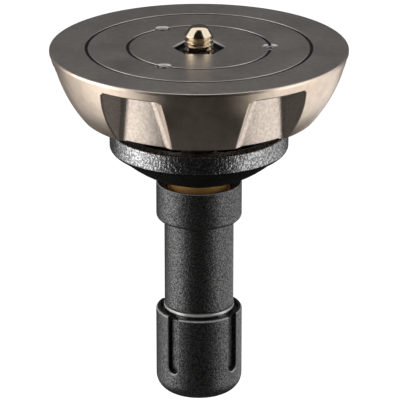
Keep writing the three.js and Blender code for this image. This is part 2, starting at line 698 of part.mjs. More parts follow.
adapter.add(piece('knob_screw', buttonScrew(KNOB_SCREW_RADIUS, tubeFoot - knobHeadTop + KNOB_SCREW_REACH,
  KNOB_SCREW_HEAD_RADIUS, KNOB_SCREW_HEAD_HEIGHT, KNOB_SCREW_SOCKET_FLATS, knobHeadTop), FINISH.darkSteel));

export default adapter;
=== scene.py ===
"""Tripod half ball adapter: the fine pieces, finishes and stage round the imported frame.

Lengths in the outlines are millimetres. A depth is measured down from the top face of the
ball, and the frame's origin is the centre of the ball's sphere.
"""
import math
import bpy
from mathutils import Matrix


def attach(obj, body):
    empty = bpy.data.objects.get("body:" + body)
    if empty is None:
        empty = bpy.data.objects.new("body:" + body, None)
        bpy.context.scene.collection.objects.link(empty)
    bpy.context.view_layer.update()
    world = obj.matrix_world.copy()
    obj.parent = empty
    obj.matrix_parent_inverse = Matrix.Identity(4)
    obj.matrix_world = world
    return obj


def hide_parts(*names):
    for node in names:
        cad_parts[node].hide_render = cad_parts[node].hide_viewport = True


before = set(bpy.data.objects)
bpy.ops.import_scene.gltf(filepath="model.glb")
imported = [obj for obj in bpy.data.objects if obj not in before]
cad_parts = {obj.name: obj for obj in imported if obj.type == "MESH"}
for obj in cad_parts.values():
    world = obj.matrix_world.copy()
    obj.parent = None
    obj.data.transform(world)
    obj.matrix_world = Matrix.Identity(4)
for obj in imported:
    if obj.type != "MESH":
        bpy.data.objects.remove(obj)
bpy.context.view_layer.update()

from types import SimpleNamespace

import bmesh
import bpy
from bpy.props import FloatProperty, FloatVectorProperty, PointerProperty
from bpy.types import Operator, Panel, PropertyGroup
from mathutils import Matrix, Vector

bl_info = {
    "name": "Tripod Half Ball Adapter",
    "version": (1, 0, 0),
    "blender": (4, 5, 0),
    "location": "View3D > Sidebar > Half Ball",
    "description": "Builds a levelling half ball with its stud, clamp cup, handle and knob",
    "category": "Object",
}

MM = 0.001
WELD = 1e-6
CENTRE_RISE = 9.3
CLEARANCE = 0.3
OVERRUN = 2.0
BALL_SIDES = 132
ROUND_SIDES = 96
SMALL_SIDES = 48
WINDOW_COUNT = 6
SCREW_COUNT = 3
SLOT_COUNT = 4
SHARP_ANGLE = math.radians(38)
CREASE_ANGLE = math.radians(20)

# Roundings of edges, from the finest up
HAIRLINE_EDGE = 0.1
FINE_EDGE = 0.12
RING_EDGE = 0.15
CRISP_EDGE = 0.2
GROOVE_EDGE = 0.22
DISC_EDGE = 0.25
SOFT_EDGE = 0.3
LIP_EDGE = 0.35
BLUNT_EDGE = 0.4

# Steps of the round work and the slack of its tests
FEWEST_ROUND_STEPS = 3
ROUND_STEPS_PER_MM = 1.4
SPARE_TURNS = 3
SPHERE_STEPS = 12
SOLID_STEPS = 6
WINDOW_STEPS = 10
EDGE_SEGMENTS = 4
FOOT_SEGMENTS = 2
SETTLING_ROUNDS = 12
ROW_OVER_WINDOW = 3.4
FLOOR_MARGIN = 0.5
TOUCH = 0.01
SIDE_SLACK = 1e-4

# Tags of the ball's faces while its windows are shaped
INNER, FLOOR, WALL, OUTSIDE, FOOT = range(5)


def length(name, description, default):
    """A length property whose default is given in millimetres."""
    return FloatProperty(name=name, description=description, default=default * MM, min=0.0,
                         unit="LENGTH", subtype="DISTANCE", precision=5)


def angle(name, description, default):
    """An angle property whose default is given in degrees."""
    return FloatProperty(name=name, description=description, default=math.radians(default),
                         unit="ROTATION", subtype="ANGLE")


def colour(name, description, default):
    """A colour property."""
    return FloatVectorProperty(name=name, description=description, default=default, size=3,
                               min=0.0, max=1.0, subtype="COLOR")


class BallSizes(PropertyGroup):
    radius: length("Ball Radius", "Radius of the ball's sphere", 50)
    height: length("Height", "Top face to foot", 22.5)
    rim_radius: length("Rim Radius", "Radius of the rim under the top face", 49.1)
    rim_height: length("Rim Height", "Depth of the straight rim", 1)
    rim_edge: length("Rim Edge", "Broken edge of the rim", 0.25)
    outer_groove: length("Outer Groove", "Radius of the outer turned groove", 36.9)
    inner_groove: length("Inner Groove", "Radius of the inner turned groove", 23.4)
    groove_width: length("Groove Width", "Width of the turned grooves", 1.0)
    groove_depth: length("Groove Depth", "Depth of the turned grooves", 0.5)
    window_angle: angle("Window Angle", "Angle that a side window spans", 25.5)
    window_turn: angle("Window Turn", "Turn of the windows about the axis", 2.4)
    screw_turn: angle("Screw Turn", "Turn of the set screws about the axis", 1.3)
    window_half_top: length("Window Half Top", "Window's middle to its side edge, at its top", 10.6)
    window_half_foot: length("Window Half Foot", "Window's middle to its side edge, at its foot", 9.8)
    wall_draft: angle("Wall Draft", "Draft of a window's side walls", 41.7)
    window_top: length("Window Top", "Depth of a window's upper wall", 3.7)
    window_corner: length("Window Corner", "Radius of a window's upper corners", 1.0)
    window_fillet: length("Window Fillet", "Radius between a window's floor and walls", 1.6)
    window_edge: length("Window Edge", "Rounding of a window's outer edge", 0.5)
    foot_edge: length("Foot Edge", "Rounding of the foot's edges", 0.45)
    floor_radius: length("Floor Radius", "Radius of a window's floor at its top", 41)
    floor_draft: angle("Floor Draft", "Draft of a window's floor, inwards and down", 11.7)
    cavity_radius: length("Cavity Radius", "Radius of the hollow underneath", 31)
    cavity_roof: length("Cavity Roof", "Depth of the hollow's roof", 12)
    cavity_fillet: length("Cavity Fillet", "Radius in the hollow's corners", 2)
    hub_radius: length("Hub Radius", "Radius of the hub underneath", 13.5)
    hub_foot: length("Hub Foot", "Depth of the hub's end", 25.5)
    web_thickness: length("Web Thickness", "Thickness of the webs underneath", 3.2)
    web_foot: length("Web Foot", "Depth of the webs' lower edge", 20.5)


class StudSizes(PropertyGroup):
    radius: length("Stud Radius", "Outer radius of the stud's thread", 4.76)
    pitch: length("Pitch", "Pitch of the stud's thread", 1.5875)
    thread_depth: length("Thread Depth", "Depth of the stud's thread", 0.9)
    cone_height: length("Cone Height", "Where the conical tip starts above the face", 4.4)
    tip_height: length("Tip Height", "Top of the stud above the face", 7.4)
    tip_radius: length("Tip Radius", "Radius of the tip's edge", 2.8)
    tip_flat: length("Tip Flat", "Radius of the small flat in the tip's middle", 1.2)
    foot_depth: length("Stud Foot", "Depth of the stud's lower end", 13.7)
    nut_flats: length("Nut Flats", "Stud nut across its flats", 14.3)
    nut_depth: length("Nut Depth", "Depth of the nut's upper face", 1.6)
    nut_thickness: length("Nut Thickness", "Thickness of the stud nut", 5.5)
    recess_edge: length("Recess Edge", "Broken edge of the nut's recess", 0.5)
    set_screw_radius: length("Set Screw Radius", "Radius of the set screws", 2)
    set_screw_length: length("Set Screw Length", "Length of the set screws", 9)
    set_screw_depth: length("Set Screw Depth", "Depth of the set screws' tops", 0.4)
    set_screw_socket: length("Set Screw Socket", "Set screw socket across its flats", 2)


class ClampSizes(PropertyGroup):
    rod_radius: length("Rod Radius", "Outer radius of the clamp rod", 6)
    rod_top: length("Rod Top", "Depth of the rod's upper end", 14.3)
    rod_foot: length("Rod Foot", "Depth of the rod's lower end", 76.9)
    rod_pitch: length("Rod Pitch", "Pitch of the rod's thread", 1.75)
    rod_thread: length("Rod Thread", "Depth of the rod's thread", 0.95)
    lock_nut_flats: length("Lock Nut Flats", "Rod lock nut across its flats", 19)
    lock_nut_thickness: length("Lock Nut Thickness", "Thickness of the rod lock nut", 6)
    cup_radius: length("Cup Radius", "Outer radius of the cup's band", 29.65)
    cup_top: length("Cup Top", "Depth of the cup's rim", 27.9)
    cup_band: length("Cup Band", "Height of the cup's band", 5.6)
    cup_rim_edge: length("Cup Rim Edge", "Rounding of the cup's rim", 0.7)
    shoulder_radius: length("Shoulder Radius", "Radius where the dome starts", 26.9)
    shoulder_drop: length("Shoulder Drop", "Height of the turned-in shoulder", 2.6)
    bulge_radius: length("Bulge Radius", "Radius of the dome's bulge", 20.5)
    bulge_depth: length("Bulge Depth", "Depth of the dome's bulge", 41.8)
    dome_foot: length("Dome Foot", "Depth of the dome's lower edge", 43.75)
    neck_radius: length("Neck Radius", "Radius of the dome's lower edge", 14.8)
    boss_radius: length("Boss Radius", "Radius of the boss on the washer", 9.2)
    cup_foot: length("Cup Foot", "Depth of the cup's lower end", 45.5)
    bowl_radius: length("Bowl Radius", "Inner radius of the cup", 25.4)
    bowl_wall: length("Bowl Wall", "Depth where the inner wall ends", 33.5)
    bowl_floor: length("Bowl Floor", "Depth of the cup's inner floor", 39.4)
    bowl_floor_radius: length("Bowl Floor Radius", "Radius of the inner floor", 16)
    bush_flange: length("Bush Flange", "Radius of the bush's flange", 10.6)
    bush_wall: length("Bush Wall", "Wall of the bush", 1.7)
    washer_radius: length("Washer Radius", "Radius of the thrust washer", 9.6)
    washer_thickness: length("Washer Thickness", "Thickness of the thrust washer", 2.5)


class HandleSizes(PropertyGroup):
    collar_radius: length("Collar Radius", "Radius of the handle's collar", 14.3)
    collar_foot: length("Collar Foot", "Depth of the collar's lower face", 59.45)
    collar_top: length("Collar Top", "Depth of the collar's upper lip", 46.5)
    collar_top_round: length("Collar Top Round", "Rounding of the collar's lip", 0.4)
    lip_width: length("Lip Width", "Width of the collar's upper lip", 1)
    dish_floor: length("Dish Floor", "Depth of the dish inside the collar's lip", 48.1)
    insert_foot: length("Insert Foot", "Depth of the threaded insert's flange", 57.95)
    collar_foot_round: length("Collar Foot Round", "Rounding of the collar's lower edge", 1.6)
    stem_radius: length("Stem Radius", "Radius of the handle's stem", 11.6)
    stem_foot: length("Stem Foot", "Depth of the shoulder above the knob", 89.95)
    spigot_radius: length("Spigot Radius", "Radius of the spigot in the knob", 10.4)
    spigot_foot: length("Spigot Foot", "Depth of the tube's lower end", 107.95)
    bore_radius: length("Bore Radius", "Radius of the tube's bore", 8.6)
    ring_radius: length("Ring Radius", "Radius of the bright ring", 11.8)
    ring_thickness: length("Ring Thickness", "Thickness of the bright ring", 0.9)
    knob_radius: length("Knob Radius", "Radius of the knob", 14.5)
    knob_foot: length("Knob Foot", "Depth of the knob's lower end", 121.4)
    knob_round: length("Knob Round", "Rounding of the knob's lower end", 5.6)
    knob_rim_round: length("Knob Rim Round", "Rounding of the knob's rim", 0.8)
    mouth_radius: length("Mouth Radius", "Outer radius of the groove in the knob's mouth", 13.1)
    mouth_collar: length("Mouth Collar", "Radius of the knob's inner collar", 11.4)
    mouth_depth: length("Mouth Depth", "Depth of the groove in the knob's mouth", 1.3)
    slot_width: length("Slot Width", "Width of a grip slot", 4.4)
    slot_depth: length("Slot Depth", "Depth of a grip slot", 2)
    slot_foot: length("Slot Foot", "Depth of a grip slot's rounded end", 112)
    slot_edge: length("Slot Edge", "Broken edge of a grip slot", 0.45)
    slot_turn: angle("Slot Turn", "Turn of the grip slots about the axis", -37.7)


class FinishColours(PropertyGroup):
    turned_aluminium: colour("Turned Aluminium", "Round turned faces of the ball", (0.72, 0.60, 0.49))
    faced_aluminium: colour("Faced Aluminium", "Flat turned top of the ball", (0.56, 0.52, 0.50))
    cast_aluminium: colour("Cast Aluminium", "Cast faces of the ball", (0.74, 0.65, 0.57))
    # Painted shade: a near-black colour on the groove floors and the nut recess, where shade falls
    dark_casting: colour("Painted Shade", "Shaded grooves and nut recess", (0.008, 0.008, 0.010))
    nickel: colour("Nickel", "Camera stud", (0.88, 0.76, 0.58))
    bright_ring: colour("Bright Ring", "Ring at the knob's mouth", (0.80, 0.79, 0.77))
    brass: colour("Brass", "Thrust washer and handle insert", (0.95, 0.52, 0.16))
    zinc: colour("Zinc Plate", "Rod, nuts, plug and washers", (0.60, 0.60, 0.58))
    dark_zinc: colour("Dark Zinc", "Set screws", (0.42, 0.42, 0.42))
    black_steel: colour("Black Steel", "Blackened nut, pin and screws", (0.012, 0.012, 0.014))
    paint: colour("Black Paint", "Cup, handle and knob", (0.012, 0.012, 0.011))
    # Painted highlight: a pale colour on thin rounded edges of the paint stands in for the highlights that
    # light puts there
    worn_edge: colour("Painted Edge Highlight", "Painted highlight on the thin edges of the paint", (0.46, 0.47, 0.48))
    nylon: colour("Nylon", "Bush in the cup", (0.70, 0.68, 0.60))


class StageSettings(PropertyGroup):
    camera_height: length("Camera Height", "Camera above the sphere's centre", 287.6)
    camera_distance: length("Camera Distance", "Camera in front of the axis", 933.9)
    camera_side: length("Camera Side", "Camera to the right of the axis", 0.33)
    camera_tilt: angle("Camera Tilt", "Camera tilt from straight down", 69.43)
    floor_depth: length("Floor Depth", "Floor below the sphere's centre", 500)
    lens: FloatProperty(name="Lens", description="Focal length in millimetres", default=269.0)
    left_lamp: FloatProperty(name="Left Lamp", description="Power of the left lamp",
                             default=4.2, unit="POWER")
    right_lamp: FloatProperty(name="Right Lamp", description="Power of the right lamp",
                              default=1.5, unit="POWER")
    fill: FloatProperty(name="Fill", description="Strength of the even light all round",
                        default=0.30, min=0.0, subtype="FACTOR")


SETTINGS = {
    "adapter_ball": BallSizes,
    "adapter_stud": StudSizes,
    "adapter_clamp": ClampSizes,
    "adapter_handle": HandleSizes,
    "adapter_finish": FinishColours,
    "adapter_stage": StageSettings,
}


def sizes_of(scene, name):
    """The values of one settings group, with lengths in millimetres."""
    group = getattr(scene, name)
    values = {}
    for key, prop in group.bl_rna.properties.items():
        if prop.type == "FLOAT":
            value = getattr(group, key)
            values[key] = value / MM if prop.unit == "LENGTH" else value
    return SimpleNamespace(**values)


def below(depth):
    """Height in the frame, in metres, of a depth below the top face in millimetres."""
    return -(CENTRE_RISE + depth) * MM


# Shaping

def add_outline(form, corners, azimuth=0.0, closed=True):
    """Adds a wire outline of (radius, depth, round) corners and returns its geometry."""
    points = [form.verts.new((radius * MM, 0.0, below(depth))) for radius, depth, _ in corners]
    pairs = list(zip(points, points[1:]))
    if closed:
        pairs.append((points[-1], points[0]))
    for pair in pairs:
        form.edges.new(pair)
    rounds = {}
    for vert, (_, _, size) in zip(points, corners):
        if size:
            rounds.setdefault(size, []).append(vert)
    for size, verts in rounds.items():
        bmesh.ops.bevel(form, geom=verts, offset=size * MM, offset_type="OFFSET",
                        segments=FEWEST_ROUND_STEPS + int(ROUND_STEPS_PER_MM * size),
                        profile=0.5, affect="VERTICES", material=-1)
    edges = [edge for edge in form.edges if edge.is_wire]
    verts = list({vert for edge in edges for vert in edge.verts})
    bmesh.ops.rotate(form, verts=verts, cent=(0, 0, 0), matrix=Matrix.Rotation(azimuth, 3, "Z"))
    return verts + edges


def welded(form):
    """The form with its doubled points merged and its faces pointing outwards."""
    bmesh.ops.remove_doubles(form, verts=form.verts, dist=WELD)
    bmesh.ops.recalc_face_normals(form, faces=form.faces)
    return form


def turned(corners, sides=ROUND_SIDES, closed=True):
    """A form turned about Z from (radius, depth, round) corners."""
    form = bmesh.new()
    wire = add_outline(form, corners, closed=closed)
    bmesh.ops.spin(form, geom=wire, cent=(0, 0, 0), axis=(0, 0, 1), dvec=(0, 0, 0),
                   angle=math.tau, steps=sides, use_merge=True)
    return welded(form)


def sleeve(inner, outer, top, foot, edge, sides=ROUND_SIDES):
    """A ring or sleeve between two depths, with rounded outer edges."""
    return turned([(inner, foot, 0), (outer, foot, edge), (outer, top, edge), (inner, top, 0)], sides)


def bar(radius, top, foot, edge, sides=SMALL_SIDES):
    """A solid round bar between two depths, with rounded edges."""
    return turned([(0, foot, 0), (radius, foot, edge), (radius, top, edge), (0, top, 0)],
                  sides, closed=False)


def prism(flats, top, foot, sides=6, flare=0.0):
    """A bar of flat sides between two depths; its upper end may flare outwards."""
    form = bmesh.new()
    corner = flats / 2 / math.cos(math.pi / sides) * MM
    middle = Matrix.Translation((0, 0, (below(top) + below(foot)) / 2))
    turn = Matrix.Rotation(math.pi / 2, 4, "Z") if sides == 6 else Matrix.Identity(4)
    bmesh.ops.create_cone(form, cap_ends=True, segments=sides, radius1=corner,
                          radius2=corner + flare * MM, depth=below(top) - below(foot),
                          matrix=middle @ turn)
    return form


def block(low, high):
    """A rectangular block between two corners in millimetres, as (x, y, depth)."""
    form = bmesh.new()
    size = [abs(b - a) * MM for a, b in zip(low, high)]
    middle = [(a + b) / 2 * MM for a, b in zip(low, high)]
    place = Matrix.Translation((middle[0], middle[1], below((low[2] + high[2]) / 2)))
    bmesh.ops.create_cube(form, size=1.0, matrix=place @ Matrix.Diagonal((*size, 1.0)))
    return form


def moved(form, x=0.0, y=0.0, turn=0.0):
    """The form after a shift in millimetres and a turn about Z."""
    bmesh.ops.translate(form, verts=form.verts, vec=(x * MM, y * MM, 0))
    bmesh.ops.rotate(form, verts=form.verts, cent=(0, 0, 0), matrix=Matrix.Rotation(turn, 3, "Z"))
    return form


def loose_object(form):
    """A scratch object that holds the form."""
    mesh = bpy.data.meshes.new("scratch")
    form.to_mesh(mesh)
    form.free()
    scratch = bpy.data.objects.new("scratch", mesh)
    bpy.context.scene.collection.objects.link(scratch)
    return scratch


def combined(base, tools, operation):
    """The base with each tool cut out of it (DIFFERENCE), joined (UNION) or kept in common."""
    body = loose_object(base)
    others = [loose_object(tool) for tool in tools]
    for other in others:
        step = body.modifiers.new("combine", "BOOLEAN")
        step.operation = operation
        step.solver = "EXACT"
        step.object = other
    graph = bpy.context.evaluated_depsgraph_get()
    result = bpy.data.meshes.new_from_object(body.evaluated_get(graph))
    form = bmesh.new()
    form.from_mesh(result)
    bpy.data.meshes.remove(result)
    for scratch in (body, *others):
        mesh = scratch.data
        bpy.data.objects.remove(scratch)
        bpy.data.meshes.remove(mesh)
    bmesh.ops.remove_doubles(form, verts=form.verts, dist=WELD)
    return form


def threaded(radius, pitch, depth, top, foot, steps=48, fade=0.5):
    """An open threaded skin between two depths: a helix that fades out at both ends."""
    form = bmesh.new()
    crest, root = radius * MM, (radius - depth) * MM
    rise = pitch * MM
    flat = 1 / 12  # half of a crest's or root's flat, as a share of the pitch
    rungs = [(crest, -flat), (crest, flat), (root, 0.5 - flat), (root, 0.5 + flat), (crest, 1 - flat)]
    turns = math.ceil((foot - top) / pitch) + SPARE_TURNS
    start = math.floor(-foot / pitch) - 1
    height = -CENTRE_RISE * MM + start * rise
    points = [form.verts.new((r, 0.0, height + share * rise)) for r, share in rungs]
    for pair in zip(points, points[1:]):
        form.edges.new(pair)
    bmesh.ops.spin(form, geom=form.verts[:] + form.edges[:], cent=(0, 0, 0), axis=(0, 0, 1),
                   dvec=(0, 0, rise / steps), angle=math.tau * turns, steps=steps * turns)
    bmesh.ops.remove_doubles(form, verts=form.verts, dist=WELD)
    low, high = below(foot), below(top)
    run_out = pitch * fade * MM
    for vert in form.verts:
        reach = min(1.0, (vert.co.z - low) / run_out, (high - vert.co.z) / run_out)
        across = math.hypot(vert.co.x, vert.co.y)
        wanted = crest - (crest - across) * max(0.0, reach)
        vert.co.x *= wanted / across
        vert.co.y *= wanted / across
    for level, side in ((low, -1), (high, 1)):
        bmesh.ops.bisect_plane(form, geom=form.verts[:] + form.edges[:] + form.faces[:],
                               plane_co=(0, 0, level), plane_no=(0, 0, side), clear_outer=True)
    return form


def end_ring(form, level):
    """The open edges of a form at one height."""
    return [edge for edge in form.edges
            if edge.is_boundary and all(abs(vert.co.z - level) < WELD * 10 for vert in edge.verts)]


def drawn_in(form, edges, radius, level):
    """Extends an open round end to a new radius and height, and returns its new edges."""
    made = bmesh.ops.extrude_edge_only(form, edges=edges)["geom"]
    verts = [item for item in made if isinstance(item, bmesh.types.BMVert)]
    for vert in verts:
        across = math.hypot(vert.co.x, vert.co.y)
        vert.co = (vert.co.x * radius * MM / across, vert.co.y * radius * MM / across, level)
    return [item for item in made if isinstance(item, bmesh.types.BMEdge) and item.is_boundary
            and item.verts[0] in verts and item.verts[1] in verts]


def capped_bar(form, top_rings, foot_rings, top, foot):
    """Closes a threaded skin with (radius, depth) rings and a flat at each end."""
    for rings, start in ((top_rings, below(top)), (foot_rings, below(foot))):
        edges = end_ring(form, start)
        for radius, depth in rings:
            edges = drawn_in(form, edges, radius, below(depth))
        bmesh.ops.holes_fill(form, edges=edges, sides=0)
    return welded(form)


def place_piece(name, form, body, finishes, replaced=(), finish_of=None):
    """Makes the form a finished piece that rides on a body and stands for its CAD nodes."""
    for face in form.faces:
        face.smooth = True
        face.material_index = finish_of(face) if finish_of else 0
    mesh = bpy.data.meshes.new(name)
    form.to_mesh(mesh)
    form.free()
    for finish in finishes:
        mesh.materials.append(bpy.data.materials[finish])
    mesh.set_sharp_from_angle(angle=SHARP_ANGLE)
    piece = bpy.data.objects.new(name, mesh)
    bpy.context.scene.collection.objects.link(piece)
    even = piece.modifiers.new("even_shading", "WEIGHTED_NORMAL")
    even.keep_sharp = True
    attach(piece, body)
    if replaced:
        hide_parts(*replaced)
    return piece


def finish_node(node, finish):
    """Gives a CAD node that stays in view its finish."""
    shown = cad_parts[node]
    if shown.material_slots:
        for holder in shown.material_slots:
            holder.link = "OBJECT"
            holder.material = bpy.data.materials[finish]
    else:
        shown.data.materials.append(bpy.data.materials[finish])


# Finishes

def new_group(name, inputs, outputs):
    """A shader node group with named float inputs and outputs, and its two end nodes."""
    group = bpy.data.node_groups.new(name, "ShaderNodeTree")
    for label, value in inputs:
        socket = group.interface.new_socket(label, in_out="INPUT", socket_type="NodeSocketFloat")
        socket.default_value = value
    for label in outputs:
        group.interface.new_socket(label, in_out="OUTPUT", socket_type="NodeSocketFloat")
    return group, group.nodes.new("NodeGroupInput"), group.nodes.new("NodeGroupOutput")


def add_node(tree, kind, inputs=(), **settings):
    """Adds a node, sets its settings, and fills its inputs with values or links."""
    node = tree.nodes.new(kind)
    for key, value in settings.items():
        setattr(node, key, value)
    for key, value in dict(inputs).items():
        if isinstance(value, bpy.types.NodeSocket):
            tree.links.new(value, node.inputs[key])
        else:
            node.inputs[key].default_value = value
    return node


def calculate(tree, operation, first, second=0.0, clamp=False):
    """The result of one Math node."""
    return add_node(tree, "ShaderNodeMath", {0: first, 1: second}, operation=operation,
                    use_clamp=clamp).outputs[0]


def make_turned_lines():
    """Fine lathe lines: they run round the axis on a face and on a round wall alike."""
    group, start, end = new_group("turned_lines", [("Density", 3000.0), ("Patches", 60.0)],
                                  ["Lines", "Drift"])
    place = add_node(group, "ShaderNodeTexCoord").outputs["Object"]
    split = add_node(group, "ShaderNodeSeparateXYZ", {0: place})
    flat = add_node(group, "ShaderNodeCombineXYZ", {"X": split.outputs["X"], "Y": split.outputs["Y"]})
    across = add_node(group, "ShaderNodeVectorMath", {0: flat.outputs[0]}, operation="LENGTH")
    section = add_node(group, "ShaderNodeCombineXYZ", {"X": across.outputs["Value"],
                                                       "Z": split.outputs["Z"]})
    lines = add_node(group, "ShaderNodeTexNoise", {"Vector": section.outputs[0], "Scale": start.outputs[0],
                                                   "Detail": 2.0, "Roughness": 0.6})
    drift = add_node(group, "ShaderNodeTexNoise", {"Vector": place, "Scale": start.outputs[1],
                                                   "Detail": 3.0, "Roughness": 0.55})
    group.links.new(lines.outputs["Fac"], end.inputs["Lines"])
    group.links.new(drift.outputs["Fac"], end.inputs["Drift"])


def make_cast_skin():
    """Uneven skin of a die casting: soft mottling with fine pits."""
    group, start, end = new_group("cast_skin", [("Mottle Scale", 700.0), ("Pit Scale", 2600.0)],
                                  ["Mottle", "Pits"])
    place = add_node(group, "ShaderNodeTexCoord").outputs["Object"]
    mottle = add_node(group, "ShaderNodeTexNoise", {"Vector": place, "Scale": start.outputs[0],
                                                    "Detail": 4.0, "Roughness": 0.62})
    pits = add_node(group, "ShaderNodeTexNoise", {"Vector": place, "Scale": start.outputs[1],
                                                  "Detail": 2.0, "Roughness": 0.5})
    group.links.new(mottle.outputs["Fac"], end.inputs["Mottle"])
    group.links.new(pits.outputs["Fac"], end.inputs["Pits"])


def make_paint_grain():
    """Grain of a textured paint: small rounded bumps, with a few brighter flecks."""
    group, start, end = new_group("paint_grain", [("Grain Scale", 1700.0)], ["Grain", "Flecks"])
    place = add_node(group, "ShaderNodeTexCoord").outputs["Object"]
    cells = add_node(group, "ShaderNodeTexVoronoi", {"Vector": place, "Scale": start.outputs[0]},
                     feature="SMOOTH_F1")
    cells.inputs["Smoothness"].default_value = 0.6
    swell = add_node(group, "ShaderNodeTexNoise", {"Vector": place, "Scale": start.outputs[0],
                                                   "Detail": 2.0, "Roughness": 0.6})
    bumps = calculate(group, "SUBTRACT", 1.0, cells.outputs["Distance"], clamp=True)
    grain = calculate(group, "MULTIPLY", bumps, swell.outputs["Fac"])
    flecks = add_node(group, "ShaderNodeMapRange", {"Value": swell.outputs["Fac"],
                                                    "From Min": 0.40, "From Max": 0.60})
    group.links.new(grain, end.inputs["Grain"])
    group.links.new(flecks.outputs[0], end.inputs["Flecks"])


class Finish:
    """One material: a Principled shader with named constants, and what varies over it."""

    def __init__(self, name, base, **constants):
        self.material = bpy.data.materials.new(name)
        self.material.use_nodes = True
        self.material.diffuse_color = (*base, 1.0)
        self.tree = self.material.node_tree
        self.shader = self.tree.nodes["Principled BSDF"]
        self.shader.inputs["Base Color"].default_value = (*base, 1.0)
        self.base = base
        for label, value in constants.items():
            self.shader.inputs[label.replace("_", " ").title().replace("Ior", "IOR")].default_value = value

    def group(self, name, *values):
        """Adds a node group with its input values and returns its outputs."""
        node = add_node(self.tree, "ShaderNodeGroup", node_tree=bpy.data.node_groups[name])
        for socket, value in zip(node.inputs, values):
            socket.default_value = value
        return node.outputs

    def colours(self, mask, low, high):
        """Base Color from the base times low to the base times high, along a mask."""
        mix = add_node(self.tree, "ShaderNodeMix", {"Factor": mask}, data_type="RGBA")
        for label, scale in (("A", low), ("B", high)):
            scales = scale if isinstance(scale, tuple) else (scale,) * 3
            shade = [min(1.0, part * share) for part, share in zip(self.base, scales)]
            socket = [item for item in mix.inputs if item.name == label and item.type == "RGBA"][0]
            socket.default_value = (*shade, 1.0)
        colour_out = [item for item in mix.outputs if item.type == "RGBA"][0]
        self.tree.links.new(colour_out, self.shader.inputs["Base Color"])

    def vary(self, label, mask, low, high):
        """A shader input that runs from low to high along a mask."""
        ramp = add_node(self.tree, "ShaderNodeMapRange", {"Value": mask, "To Min": low, "To Max": high,
                                                          "From Min": 0.25, "From Max": 0.75})
        self.tree.links.new(ramp.outputs[0], self.shader.inputs[label])

    def bump(self, height, strength, distance):
        """A fine relief in millimetres."""
        relief = add_node(self.tree, "ShaderNodeBump", {"Height": height, "Strength": strength,
                                                        "Distance": distance * MM})
        self.tree.links.new(relief.outputs["Normal"], self.shader.inputs["Normal"])


